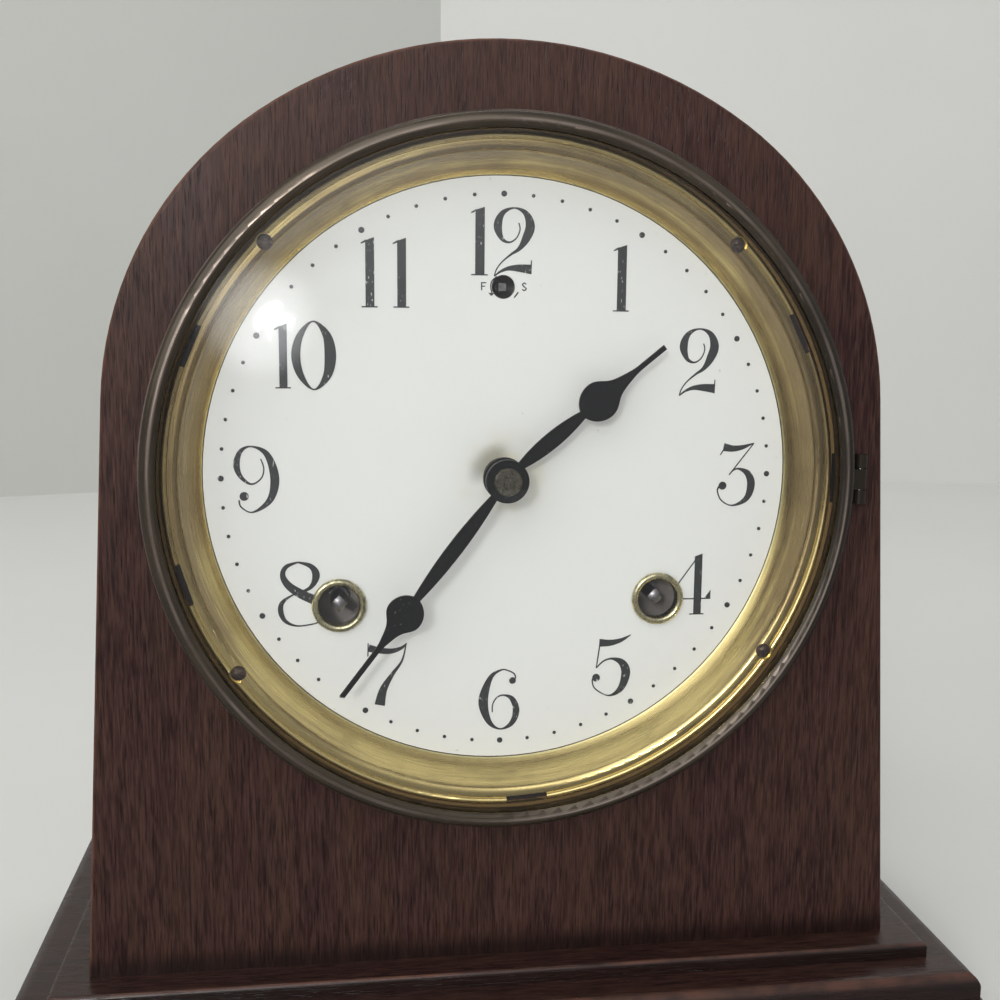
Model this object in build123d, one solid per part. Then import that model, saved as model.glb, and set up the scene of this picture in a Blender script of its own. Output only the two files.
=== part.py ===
from build123d import *
import os
from math import acos, atan2, cos, degrees, hypot, pi, radians, sin, sqrt, tan

# Round-topped shelf clock with a hinged glass door over the dial and an eight-day time and strike movement.
# Lengths are millimetres and angles degrees. Every piece is drawn about the dial's centre, with X to the right
# as the viewer sees it, Y going back from the dial's face and Z up. At the end all pieces are moved together, so
# that the clock stands on Z = 0 with its base centred on the origin.

# Case outline: a crown arc about the dial's centre, shoulder arcs tangent to it, and sides that lean out below
crown_border = 16.0
crown_half_angle = 34.0
shoulder_step = 17.5
side_lean_angle = 3.3
dial_rise = 118.7
dial_setback = 9.0
board_thickness = 12.0
board_edge_round = 1.0
shell_wall = 7.0
back_inset = 6.0
back_thickness = 8.0
back_fit = 0.1
back_room = 2.0
access_radius = 55.0
access_drop = 8.0

# Stepped base
cap_height = 3.7
cap_overhang = 8.3
cap_round = 1.2
moulding_height = 7.3
moulding_overhang = 18.0
moulding_round = 3.5
plinth_height = 17.0
plinth_overhang = 20.5
plinth_round = 2.0
base_back_margin = 1.0

# Back door
door_lap = 4.0
door_thickness = 1.2
door_gap = 0.1
door_knob_radius = 4.0
door_knob_height = 4.0
door_knob_neck = 1.8
door_knob_inset = 8.0
door_hinge_gap = 0.5
knob_crown_share = 0.8
knob_waist_share = 0.25
knob_shoulder_share = 0.5
knob_bulge_shares = (1.02, 0.8)

# Hinges of the glass door and of the back door
knuckle_radius = 1.6
hinge_pin_radius = 0.8
hinge_pin_seat = 0.02
hinge_running_gap = 0.05
hinge_half_length = 6.0
hinge_middle_half = 2.5
hinge_end_gap = 0.2
hinge_leaf_width = 6.5
hinge_leaf_thickness = 1.0
hinge_neck_half = 0.8
bezel_hinge_gap = 1.0
knuckle_lift = 0.5
back_leaf_width = 9.0

# Dial, its holes and its brass surround
sight_radius = 70.7
dial_margin = 3.6
dial_thickness = 0.8
dial_centre_hole = 4.5
regulator_hole = 2.8
winding_x = 39.4
winding_drop = 31.1
regulator_rise = 45.1
ring_gauge = 0.8
cove_width = 4.3
cove_depth = 1.2
cove_roll = 1.5
flange_width = 4.2
bead_radius = 0.8
board_hole_gap = 0.4
ring_screw_inset = 2.3
ring_screw_angles = (44.3, 123.7, 234.7, 314.6)
ring_screw_head = 1.8
ring_screw_crown = 1.3
ring_screw_slot = 0.5
ring_screw_shank = 1.0
ring_screw_length = 8.0
ring_screw_room = 0.3
screw_hole_gap = 0.05
ring_slot_angles = (63.5, 176.0, 252.7, 293.5)
ring_slot_length = 10.0
ring_slot_width = 1.5
ring_slot_rim = 0.35
eyelet_bore = 4.9
eyelet_wall = 0.45
eyelet_rim = 1.0
eyelet_proud = 1.3
eyelet_tail = 0.8

# Glass door
bezel_reach = 4.3
bezel_wall = 1.0
bezel_lip_width = 4.1
lip_edge_share = 0.25
bezel_depth = 6.6
bezel_roll = 2.6
bezel_gap = 0.3
glass_thickness = 2.0
glass_rise = 10.6
glass_edge_room = 0.3
glass_lip_room = 0.1
retainer_width = 2.7
retainer_depth = 1.3

# Hands, drawn towards twelve and turned clockwise to the time shown
hour_angle = 50.7
minute_angle = 217.3
hour_length = 49.4
minute_length = 64.2
hour_spade_width = 9.4
minute_spade_width = 9.0
hour_stem_width = 3.9
minute_stem_width = 3.6
hand_tip_width = 1.2
hand_thickness = 0.8
hand_boss_radius = 5.1
hour_boss_height = 1.6
minute_boss_height = 2.0
hour_hand_depth = 5.2
minute_hand_depth = 8.8
nut_radius = 3.3
nut_height = 1.4
nut_chamfer = 0.3
arbor_square = 2.0
arbor_end_proud = 0.6
hub_seat = 0.02

# Shares of a hand's length, from its centre to its tip: waist of the spade, widest place and start of the pointer
hour_station_shares = (0.485, 0.590, 0.850)
minute_station_shares = (0.545, 0.618, 0.790)
stem_root_share = 0.5
stem_neck_share = 0.5
stem_middle_share = 0.55
spade_base_shares = (0.80, 0.42)
spade_taper_shares = (0.52, 0.36)

# Movement plates and what joins them
plate_side_margin = 4.2
plate_top = 52.0
plate_bottom = 60.0
plate_corner = 6.0
plate_thickness = 1.6
post_length = 9.0
plate_gap = 34.0
plate_screw_inset = 5.5
post_radius = 3.6
plate_screw_shank = 1.6
plate_screw_head = 3.2
plate_screw_crown = 1.8
plate_screw_slot = 0.8
plate_screw_grip = 7.0
pillar_radius = 3.2
pillar_shoulder = 1.8
pillar_nut_radius = 3.0
pillar_nut_height = 2.4
pillar_top_inset = (20.0, 8.0)
pillar_low = (10.0, -54.0)

# Arbors
arbor_radius = 1.4
pivot_radius = 0.8
last_arbor_radius = 0.95
last_pivot_radius = 0.6
pivot_gap = 0.05
pivot_proud = 0.5
end_shake = 0.3
centre_radius = 1.6
pipe_wall = 0.75

# Wheels: tooth counts, the pitch measured round the pitch circle, and the depths at which they lie
great_teeth = 84
second_teeth = 64
third_teeth = 56
escape_teeth = 30
pinion_bars = 8
last_bars = 7
centre_bars = 16
great_pitch = 2.2
second_pitch = 1.865
third_pitch = 1.571
wheel_thickness = 1.4
great_thickness = 2.4
escape_radius = 10.0
escape_tooth = 2.2
escape_tip_shares = (0.45, 0.55)
shroud_thickness = 0.8
shroud_margin = 0.9
pinion_side = 0.9
wheel_rim = 2.2
wheel_hub = 3.6
wheel_arm = 2.4

# Where wheels lie between the plates, as shares of the gap
great_depth_share = 0.60
second_depth_share = 0.847
third_depth_share = 0.453
escape_depth_share = 0.159
fly_depth_share = 0.07
spring_width_share = 0.5

# Angles of the line from one arbor to the next, counted from +X towards +Z
time_third_angle = 118.0
escape_angle = 149.0
strike_second_angle = 75.0
strike_third_angle = 100.0
fly_angle = 35.0

# Tooth outlines, as shares of the pitch: height above and below the pitch circle, half width at root, pitch and tip
bar_wheel_shares = (0.40, 0.34, 0.24, 0.19, 0.06)
leaf_wheel_shares = (0.28, 0.38, 0.25, 0.19, 0.07)
bar_radius_share = 0.16

# Motion work behind the dial
motion_distance = 10.8
motion_angle = 205.0
cannon_leaves = 10
minute_teeth = 30
minute_leaves = 10
hour_teeth = 40
motion_thickness = 1.2
hour_wheel_depth = 4.6
minute_wheel_depth = 8.0
motion_overlap = 0.6
stud_radius = 0.9

# Winding
winding_radius = 2.4
winding_square = 3.0
winding_end = 1.2
winding_square_length = 9.0
winding_crown = 2.3
winding_turn = 45
winding_pivot = 1.6
ratchet_radius = 9.0
ratchet_teeth = 20
ratchet_tooth = 1.6
ratchet_gap = 0.6
ratchet_thickness = 2.0
click_reach = 15.0
click_gap = 0.4
click_eye = 1.9
click_nose = 0.5
click_turn_angle = 50.0
click_stud = 0.9
click_thickness = 1.4
click_side = 0.1
spring_side = 1.9
spring_strip = 0.45
spring_step = 0.91
spring_half_turns = 24
spring_outer = 25.0
spring_loop_wall = 0.6
spring_loop_gap = 0.1

# Escapement, pendulum and regulator
verge_rise = 13.5
pallet_clear = 1.8
pallet_spread_angle = 42.0
pallet_width = 1.4
pallet_flare_angle = 3.0
verge_crest = 2.6
crutch_gap = 3.8
crutch_thickness = 1.2
crutch_half_width = 1.0
crutch_drop = 29.4
fork_half_width = 2.6
fork_height = 2.0
fork_gap = 0.4
pendulum_gap = 3.0
pendulum_rod_radius = 0.8
pendulum_length = 111.0
bob_radius = 19.0
bob_thickness = 8.0
bob_edge = 1.6
bob_curve_share = 0.75
rod_seat_share = 0.75
suspension_height = 12.0
suspension_strip = 0.3
suspension_width = 3.0
suspension_grip = 1.5
suspension_pin = 0.6
post_half_width = 3.0
post_height = 5.0
post_lift = 2.9
post_slot_gap = 0.2
slide_half_width = 4.0
slide_top = 1.8
slide_drop = 5.0
slide_chop_height = 2.0
slide_slit = 1.1
slide_play = 0.1
rail_width = 1.6
rail_drop = 8.0
rail_proud = 1.0
eccentric_throw = 1.2
eccentric_radius = 0.6
regulator_radius = 1.2
regulator_end = 2.0
regulator_square = 1.8
regulator_square_length = 4.0

# Strike
fly_vane_radius = 10.0
fly_vane_width = 9.0
fly_vane_thickness = 0.5
lift_pins = 8
lift_pin_radius = 0.6
lift_pin_length = 2.2
lift_pin_circle = 17.0
hammer_pivot = (-55.0, 8.0)
hammer_head_radius = 4.5
hammer_head_length = 9.0
hammer_wire = 1.6
hammer_tail_length = 6.4
hammer_tail_gap = 0.6
hammer_gap = 1.5
gong_x = -24.0
gong_rise = 34.7
gong_gap = 3.3
gong_wire = 1.5
gong_inner = 6.0
gong_step = 3.0
gong_half_turns = 8
gong_block_half = 2.4
gong_block_height = 3.2
gong_block_gap = 0.4
gong_post_half = 4.0
gong_post_thickness = 6.0
gong_post_gap = 1.5
gong_foot_half = 15.0
gong_foot_depth = 14.0
gong_foot_height = 5.0
gong_screw_radius = 1.5
gong_screw_head = 2.6
gong_screw_crown = 1.0
gong_screw_grip = 8.0

# How far cutting shapes run past what they cut
overrun = 2.0

# Radii that follow from the sizes above, from the dial outwards
dial_radius = sight_radius + dial_margin
cove_radius = sight_radius + cove_width
flange_radius = cove_radius + flange_width
ring_screw_radius = flange_radius - ring_screw_inset
board_hole = cove_radius + ring_gauge + board_hole_gap
bezel_radius = flange_radius + bezel_reach
bezel_lip_radius = bezel_radius - bezel_lip_width
crown_radius = bezel_radius + crown_border
shoulder_radius = crown_radius - shoulder_step
plate_half_width = board_hole - plate_side_margin
pillar_top = (plate_half_width - pillar_top_inset[0], plate_top - pillar_top_inset[1])

# Depths and heights that follow, from the front board to the back
board_face = -dial_setback
board_back = board_face + board_thickness
flange_face = board_face - ring_gauge
plate_start = board_back + post_length
front_inner = plate_start + plate_thickness
back_plate_start = front_inner + plate_gap
back_plate_end = back_plate_start + plate_thickness
great_depth, second_depth, third_depth, escape_depth, fly_vane_depth = (
    front_inner + share * plate_gap
    for share in (great_depth_share, second_depth_share, third_depth_share, escape_depth_share, fly_depth_share))
spring_width = spring_width_share * plate_gap
crutch_depth = back_plate_end + crutch_gap
pendulum_depth = crutch_depth + crutch_thickness + pendulum_gap
gong_depth = pendulum_depth + bob_thickness / 2 + gong_gap + gong_wire
gong_post_front = gong_depth + gong_wire + gong_post_gap
gong_post_back = gong_post_front + gong_post_thickness
back_inner = gong_post_back + back_room
back_outer = back_inner + back_thickness
case_back = back_outer + back_inset
floor = -dial_rise
gong_centre = (gong_x, floor + gong_rise)


def slab(face, front, back):
    """Solid of a face drawn in X and Z, between two depths."""
    return extrude(Plane((0, back, 0), (1, 0, 0), (0, -1, 0)) * face, back - front)


def rod(centre, radius, front, back):
    """Round bar along the depth, about a point in X and Z."""
    return slab(Pos(*centre) * Circle(radius), front, back)


def square_bar(centre, side, front, back):
    """Square bar along the depth, about a point in X and Z."""
    return slab(Pos(*centre) * Rectangle(side, side), front, back)


def upright(x, depth, radius, low, high):
    """Round bar along Z."""
    return extrude(Plane((0, 0, low)) * Pos(x, depth) * Circle(radius), high - low)


def block(left, right, front, back, low, high):
    """Box between two corners."""
    middle = Pos((left + right) / 2, (front + back) / 2, (low + high) / 2)
    return middle * Box(right - left, back - front, high - low)


def turned(*edges, centre=(0, 0)):
    """Solid turned about a line along the depth, from an outline in radius and depth."""
    return Pos(centre[0], 0, centre[1]) * revolve(make_face(list(edges)), Axis.Y)


def closed(*points):
    """Straight edges through points and back to the first."""
    return [Line(a, b) for a, b in zip(points, points[1:] + points[:1])]


def polar(radius, angle, centre=(0, 0)):
    """Point at a radius and an angle, counted from +X towards +Z."""
    return (centre[0] + radius * cos(radians(angle)), centre[1] + radius * sin(radians(angle)))


def clock_polar(radius, angle):
    """Point at a radius and an angle, counted clockwise from twelve."""
    return polar(radius, 90 - angle)


def direction(start, end):
    """Angle from one point to another, counted from +X towards +Z."""
    return degrees(atan2(end[1] - start[1], end[0] - start[0]))


def distance(start, end):
    return hypot(end[0] - start[0], end[1] - start[1])


# Case

def case_half_width(inset, height):
    """Half width of the leaning side at a height below the shoulder."""
    start = polar(shoulder_radius - inset, side_lean_angle, shoulder_centre)
    return start[0] + (start[1] - height) * tan(radians(side_lean_angle))


def case_face(inset):
    """Outline of the case, drawn in by an even wall."""
    crown = crown_radius - inset
    shoulder = shoulder_radius - inset
    join = 90 - crown_half_angle
    crown_end = polar(crown, join)
    shoulder_end = polar(shoulder, side_lean_angle, shoulder_centre)
    shoulder_middle = polar(shoulder, (join + side_lean_angle) / 2, shoulder_centre)
    foot = (case_half_width(inset, floor), floor)

    def mirrored(point):
        return (-point[0], point[1])

    return make_face([
        Line(mirrored(foot), foot),
        Line(foot, shoulder_end),
        ThreePointArc(shoulder_end, shoulder_middle, crown_end),
        ThreePointArc(crown_end, (0, crown), mirrored(crown_end)),
        ThreePointArc(mirrored(crown_end), mirrored(shoulder_middle), mirrored(shoulder_end)),
        Line(mirrored(shoulder_end), mirrored(foot)),
    ])


def base_step(overhang, height, top, rounding):
    """One step of the base, rounded along its top edge at the front and the sides."""
    half = case_half_width(0, floor) + overhang
    step = block(-half, half, board_face - overhang, case_back + base_back_margin, top - height, top)
    upper = step.edges().group_by(Axis.Z)[-1]
    return fillet(upper.sort_by(Axis.Y)[:-1], rounding)


def base_cap():
    cap = base_step(cap_overhang, cap_height, floor, cap_round)
    for place in gong_screw_places:
        cap -= upright(*place, gong_screw_radius + screw_hole_gap, floor + gong_foot_height - gong_screw_grip,
                       floor + overrun)
    return cap


def front_board():
    board = slab(case_face(0) - Circle(board_hole), board_face, board_back)
    front = board.faces().sort_by(Axis.Y)[0]
    board = fillet(front.outer_wire().edges().sort_by(Axis.Z)[1:], board_edge_round)
    for centre in ring_screw_places:
        board -= rod(centre, ring_screw_shank + screw_hole_gap, board_face - overrun, board_face + ring_screw_length)
    for centre in plate_screw_places:
        board -= rod(centre, plate_screw_shank + screw_hole_gap, board_back - plate_screw_grip, board_back + overrun)
    return board - case_leaf_plate(board_face - overrun)


def case_shell():
    return slab(case_face(0) - case_face(shell_wall), board_back, case_back)


def back_board():
    face = case_face(shell_wall + back_fit) - Pos(0, -access_drop) * Circle(access_radius)
    return slab(face, back_inner, back_outer)


# Hinges

def knuckle_run(x, depth, low, high):
    """One hinge knuckle, still without its bore."""
    return upright(x, depth, knuckle_radius, low, high)


def case_leaf_plate(front):
    """Leaf let into the front board under the door's rim."""
    return block(bezel_pin_x - hinge_leaf_width, bezel_pin_x + hinge_neck_half, front,
                 board_face + hinge_leaf_thickness, -hinge_half_length, hinge_half_length)


def end_knuckles(x, depth, centre_height, neck_depth):
    """The two end knuckles of a fixed leaf, each with the neck that carries it."""
    inner = hinge_middle_half + hinge_end_gap
    knuckles = Part()
    for low, high in ((-hinge_half_length, -inner), (inner, hinge_half_length)):
        low, high = low + centre_height, high + centre_height
        knuckles += knuckle_run(x, depth, low, high)
        knuckles += block(x - hinge_neck_half, x + hinge_neck_half, min(depth, neck_depth), max(depth, neck_depth),
                          low, high)
    return knuckles


def pin_hole(x, depth, centre_height, gap):
    reach = hinge_half_length + overrun
    return upright(x, depth, hinge_pin_radius + gap, centre_height - reach, centre_height + reach)


def hinge_pin(x, depth, centre_height):
    return upright(x, depth, hinge_pin_radius, centre_height - hinge_half_length, centre_height + hinge_half_length)


def case_leaf():
    leaf = case_leaf_plate(board_face) + end_knuckles(bezel_pin_x, bezel_pin_depth, 0, board_face)
    return leaf - pin_hole(bezel_pin_x, bezel_pin_depth, 0, hinge_pin_seat)


def bezel_leaf():
    knuckle = knuckle_run(bezel_pin_x, bezel_pin_depth, -hinge_middle_half, hinge_middle_half)
    tab = block(bezel_radius - bezel_wall, bezel_pin_x, bezel_pin_depth - knuckle_radius, bezel_pin_depth,
                -hinge_middle_half, hinge_middle_half)
    tab -= rod((0, 0), bezel_radius, bezel_pin_depth - knuckle_radius - overrun, bezel_pin_depth + overrun)
    return knuckle + tab - pin_hole(bezel_pin_x, bezel_pin_depth, 0, hinge_running_gap)


def back_leaf():
    """Leaf on the back board that carries the back door."""
    plate = block(back_pin_x - hinge_neck_half, back_pin_x + back_leaf_width, back_outer,
                  back_outer + hinge_leaf_thickness, -access_drop - hinge_half_length,
                  -access_drop + hinge_half_length)
    leaf = plate + end_knuckles(back_pin_x, back_pin_depth, -access_drop, back_outer)
    clear = hinge_middle_half + hinge_end_gap
    leaf -= block(back_pin_x - knuckle_radius - overrun, back_pin_x + knuckle_radius + hinge_end_gap,
                  back_outer - overrun, back_pin_depth + knuckle_radius, -access_drop - clear, -access_drop + clear)
    return leaf - pin_hole(back_pin_x, back_pin_depth, -access_drop, hinge_pin_seat)


def back_door():
    """Round sheet door with the middle knuckle of its hinge."""
    door = rod((0, -access_drop), door_radius, back_outer + door_gap, door_back)
    low, high = -access_drop - hinge_middle_half, -access_drop + hinge_middle_half
    door += block(door_radius - hinge_leaf_width, back_pin_x, back_outer + door_gap, door_back, low, high)
    door += knuckle_run(back_pin_x, back_pin_depth, low, high)
    door -= rod(door_knob_place, door_knob_neck, back_outer, door_back + overrun)
    return door - pin_hole(back_pin_x, back_pin_depth, -access_drop, hinge_running_gap)


def back_door_knob():
    base = back_outer + door_gap
    top = door_back + door_knob_height
    waist = (door_knob_neck, door_back + door_knob_height * knob_waist_share)
    shoulder = (door_knob_radius, door_back + door_knob_height * knob_shoulder_share)
    bulge = (door_knob_radius * knob_bulge_shares[0], door_back + door_knob_height * knob_bulge_shares[1])
    crown = (door_knob_radius * knob_crown_share, top)
    return turned(Line((0, base), (door_knob_neck, base)), Line((door_knob_neck, base), waist),
                  Line(waist, shoulder), ThreePointArc(shoulder, bulge, crown), Line(crown, (0, top)),
                  Line((0, top), (0, base)), centre=door_knob_place)


# Dial

def dial_plate():
    plate = rod((0, 0), dial_radius, 0, dial_thickness)
    plate -= rod((0, 0), dial_centre_hole, -overrun, dial_thickness + overrun)
    plate -= rod((0, regulator_rise), regulator_hole, -overrun, dial_thickness + overrun)
    for centre in winding_places:
        plate -= rod(centre, eyelet_tube, -overrun, dial_thickness + overrun)
    return plate


def sight_ring():
    """Spun brass surround: a hollow cove down to the dial, rolled over to a beaded flange on the front board."""
    inner, outer = (sight_radius, 0), (cove_radius, flange_face)
    chord = distance(inner, outer)
    across = ((inner[1] - outer[1]) / chord, (outer[0] - inner[0]) / chord)
    middle = ((inner[0] + outer[0]) / 2, (inner[1] + outer[1]) / 2)
    front_middle = (middle[0] + across[0] * cove_depth, middle[1] + across[1] * cove_depth)
    back_middle = (front_middle[0] + across[0] * ring_gauge, front_middle[1] + across[1] * ring_gauge)
    foot = (sight_radius + ring_gauge, 0)
    neck = (cove_radius + ring_gauge, board_face)
    bead_centre = flange_radius - bead_radius
    bead_start, bead_end = (bead_centre - bead_radius, flange_face), (bead_centre + bead_radius, flange_face)
    profile = make_face([
        ThreePointArc(inner, front_middle, outer), Line(outer, bead_start),
        ThreePointArc(bead_start, (bead_centre, flange_face - bead_radius), bead_end),
        Line(bead_end, (flange_radius, board_face)), Line((flange_radius, board_face), neck),
        ThreePointArc(neck, back_middle, foot), Line(foot, inner)])
    ring = revolve(fillet(profile.vertices().sort_by_distance(outer)[0], cove_roll), Axis.Y)
    for centre in ring_screw_places:
        ring -= rod(centre, ring_screw_shank + screw_hole_gap, flange_face - overrun, board_face + overrun)
        ring -= rod(centre, ring_screw_head + ring_screw_room, flange_face - overrun, flange_face)
    slot_edge = flange_radius - ring_slot_rim
    for angle in ring_slot_angles:
        slot = block(-ring_slot_length / 2, ring_slot_length / 2, flange_face - overrun, board_face + overrun,
                     slot_edge - ring_slot_width, slot_edge)
        ring -= Rot(0, angle, 0) * slot
    return ring


def round_head_screw(centre, seat, head, crown, shank, length, slot, facing):
    """Slotted round-head screw whose head stands out of its seat, towards the viewer if facing is -1."""
    top = seat + facing * crown
    tip = seat - facing * length
    edge, rise = (head, seat), (head * sqrt(0.5), seat + facing * crown * sqrt(0.5))
    screw = turned(ThreePointArc(edge, rise, (0, top)), Line((0, top), (0, tip)), Line((0, tip), (shank, tip)),
                   Line((shank, tip), (shank, seat)), Line((shank, seat), edge), centre=centre)
    floor_depth = seat + facing * crown / 2
    cut = Pos(*centre) * Rectangle(2 * head + overrun, slot)
    return screw - slab(cut, min(floor_depth, top + facing * overrun), max(floor_depth, top + facing * overrun))


def sight_ring_screws():
    return Compound([round_head_screw(centre, flange_face, ring_screw_head, ring_screw_crown, ring_screw_shank,
                                      ring_screw_length, ring_screw_slot, -1).solid()
                     for centre in ring_screw_places])


def winding_eyelet(centre):
    """Brass eyelet rolled over the edge of a winding hole."""
    back = dial_thickness + eyelet_tail
    start, crest = (eyelet_bore, -eyelet_proud / 2), (eyelet_tube, -eyelet_proud)
    rim = (eyelet_tube + eyelet_rim, 0)
    wall = eyelet_tube - hub_seat
    return turned(Line((eyelet_bore, back), start), ThreePointArc(start, crest, rim), Line(rim, (wall, 0)),
                  Line((wall, 0), (wall, back)), Line((wall, back), (eyelet_bore, back)), centre=centre)


def winding_eyelets():
    return Compound([winding_eyelet(centre).solid() for centre in winding_places])


# Glass door

def bezel_ring():
    """Rolled brass rim: a side wall, a rounded shoulder and a curved lip that holds the glass from the front."""
    inner_wall = bezel_radius - bezel_wall
    turn = radians(45)
    shoulder = bezel_front + bezel_roll
    bend = bezel_radius - bezel_roll
    inner_roll = bezel_roll - bezel_wall
    outer_middle = (bend + bezel_roll * cos(turn), shoulder - bezel_roll * sin(turn))
    inner_middle = (bend + inner_roll * cos(turn), shoulder - inner_roll * sin(turn))
    lip_fall, lip_run = bezel_wall * (1 - lip_edge_share), bend - bezel_lip_radius
    lip_ball = (lip_run ** 2 + lip_fall ** 2) / (2 * lip_fall)
    lip_middle = (bend - lip_run / 2, bezel_front + lip_ball - sqrt(lip_ball ** 2 - lip_run ** 2 / 4))
    lip_front, lip_back = (bezel_lip_radius, bezel_front + lip_fall), (bezel_lip_radius, bezel_lip_back)
    return turned(
        Line((bezel_radius, bezel_back), (bezel_radius, shoulder)),
        ThreePointArc((bezel_radius, shoulder), outer_middle, (bend, bezel_front)),
        ThreePointArc((bend, bezel_front), lip_middle, lip_front),
        Line(lip_front, lip_back), Line(lip_back, (bend, bezel_lip_back)),
        ThreePointArc((bend, bezel_lip_back), inner_middle, (inner_wall, shoulder)),
        Line((inner_wall, shoulder), (inner_wall, bezel_back)), Line((inner_wall, bezel_back), (bezel_radius, bezel_back)))


def glass_drop(radius):
    """How far the domed glass falls back from its crown at a radius."""
    ball = (glass_radius ** 2 + glass_rise ** 2) / (2 * glass_rise)
    return ball - sqrt(ball ** 2 - radius ** 2)


def bezel_glass():
    """Domed glass of even thickness."""
    half = glass_radius / 2
    front, back = glass_crown, glass_crown + glass_thickness
    edge_front, edge_back = front + glass_rise, back + glass_rise
    return turned(
        ThreePointArc((0, front), (half, front + glass_drop(half)), (glass_radius, edge_front)),
        Line((glass_radius, edge_front), (glass_radius, edge_back)),
        ThreePointArc((glass_radius, edge_back), (half, back + glass_drop(half)), (0, back)),
        Line((0, back), (0, front)))


def glass_retainer():
    start = glass_crown + glass_rise + glass_thickness
    outer = bezel_radius - bezel_wall - hub_seat
    return turned(*closed((outer - retainer_width, start), (outer, start), (outer, start + retainer_depth),
                          (outer - retainer_width, start + retainer_depth)))


# Hands

def hand_face(length, spade_width, stem_width, station_shares, boss_radius):
    """Spade hand towards twelve: a swelling stem, a round-based spade and a thin square-ended pointer."""
    waist, wide, pointer = (share * length for share in station_shares)
    half, tip = spade_width / 2, hand_tip_width / 2
    stem = stem_width / 2
    root, neck = stem * stem_root_share, stem * stem_neck_share
    middle = boss_radius + (waist - boss_radius) * stem_middle_share
    base = (half * spade_base_shares[0], waist + (wide - waist) * spade_base_shares[1])
    taper = (half * spade_taper_shares[0], wide + (pointer - wide) * spade_taper_shares[1])
    near_tip = (tip + (half - tip) * spade_taper_shares[0] / 4, (taper[1] + pointer) / 2)

    def side(sign):
        def at(x, z):
            return (sign * x, z)
        return [
            Line(at(root, 0), at(root, boss_radius)),
            ThreePointArc(at(root, boss_radius), at(stem, middle), at(neck, waist)),
            ThreePointArc(at(neck, waist), at(*base), at(half, wide)),
            Spline(at(half, wide), at(*taper), at(*near_tip), at(tip, pointer),
                   tangents=((0, 1), (0, 1))),
            Line(at(tip, pointer), at(tip, length)),
        ]

    ends = [Line((-root, 0), (root, 0)), Line((-tip, length), (tip, length))]
    return make_face(side(1) + side(-1) + ends)


def hand(face, angle, bore, front, boss_front, boss_back):
    """Flat hand with a round boss, turned clockwise to its angle."""
    blade = slab(Rot(0, 0, -angle) * face, front, front + hand_thickness)
    blade += rod((0, 0), hand_boss_radius, boss_front, boss_back)
    return blade - rod((0, 0), bore, boss_front - overrun, boss_back + overrun)


def hour_hand():
    face = hand_face(hour_length, hour_spade_width, hour_stem_width, hour_station_shares, hand_boss_radius)
    front = -hour_hand_depth - hand_thickness
    return hand(face, hour_angle, pipe_outer + hub_seat, front, front, front + hour_boss_height)


def minute_hand():
    face = hand_face(minute_length, minute_spade_width, minute_stem_width, minute_station_shares, hand_boss_radius)
    front = -minute_hand_depth - hand_thickness
    return hand(face, minute_angle, centre_radius + hub_seat, front, minute_boss_front,
                minute_boss_front + minute_boss_height)


def hand_nut():
    front, chamfer = minute_boss_front - nut_height, nut_radius - nut_chamfer
    bore = centre_radius + hub_seat
    return turned(*closed((bore, minute_boss_front), (bore, front), (chamfer, front),
                          (nut_radius, front + nut_chamfer), (nut_radius, minute_boss_front)))


# Wheels

def tooth_face(teeth, pitch, shares, phase):
    """Toothed disc drawn about the origin, with a tooth at the phase angle."""
    above, below, root, middle, tip = shares
    ring = pitch_radius(teeth, pitch)
    corners = ((-below, -root), (0, -middle), (above, -tip), (above, tip), (0, middle), (-below, root))
    step = 360 / teeth
    points = [polar(ring + rise * pitch, phase + step * (count + side))
              for count in range(teeth) for rise, side in corners]
    return make_face(Polyline(*points, close=True))


def pitch_radius(teeth, pitch):
    return teeth * pitch / (2 * pi)


def mate_phase(teeth, phase, mate_teeth, line):
    """Phase of a mate whose gaps meet the teeth of a wheel on the line of centres."""
    turn = (line - phase) * teeth / 360 - 0.5
    return line + 180 + turn * 360 / mate_teeth


def crossed(face, teeth, pitch):
    """Four-armed wheel cut from a toothed disc."""
    inner = pitch_radius(teeth, pitch) - pitch - wheel_rim
    arms = Rectangle(2 * inner, wheel_arm) + Rectangle(wheel_arm, 2 * inner)
    return face - (Circle(inner) - Circle(wheel_hub) - arms)


def wheel(centre, teeth, pitch, depth, thickness):
    """Crossed wheel at its place, with a tooth towards +X."""
    face = crossed(tooth_face(teeth, pitch, bar_wheel_shares, 0), teeth, pitch)
    return slab(Pos(*centre) * face, depth, depth + thickness)


def lantern(centre, bars, pitch, phase, depth, thickness):
    """Lantern pinion: bars between two round shrouds, astride a wheel of the given depth and thickness."""
    start, end = depth - pinion_side, depth + thickness + pinion_side
    ring = pitch_radius(bars, pitch)
    shroud = ring + shroud_margin
    pinion = rod(centre, shroud, start - shroud_thickness, start) + rod(centre, shroud, end, end + shroud_thickness)
    for count in range(bars):
        place = polar(ring, phase + count * 360 / bars, centre)
        pinion += rod(place, bar_radius_share * pitch, start - shroud_thickness / 2, end + shroud_thickness / 2)
    return pinion


def arbor(centre, radius=arbor_radius, pivot=pivot_radius):
    """Arbor between the plates, with a pivot through each."""
    body = rod(centre, radius, front_inner + end_shake, back_plate_start - end_shake)
    return body + rod(centre, pivot, plate_start - pivot_proud, back_plate_end + pivot_proud)


def great_wheel(side):
    centre = winding_place(side)
    face = Pos(*centre) * tooth_face(great_teeth, great_pitch, bar_wheel_shares, great_phase(side))
    back = great_depth + great_thickness
    body = slab(face - Pos(*centre) * Circle(winding_radius + pivot_gap), great_depth, back)
    stud = polar(click_reach, click_direction(side), centre)
    return body + rod(stud, click_stud, back, back + click_side + click_thickness + pivot_proud)


def great_phase(side):
    """The two great wheels are mirror images."""
    return 0 if side > 0 else 180


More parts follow.
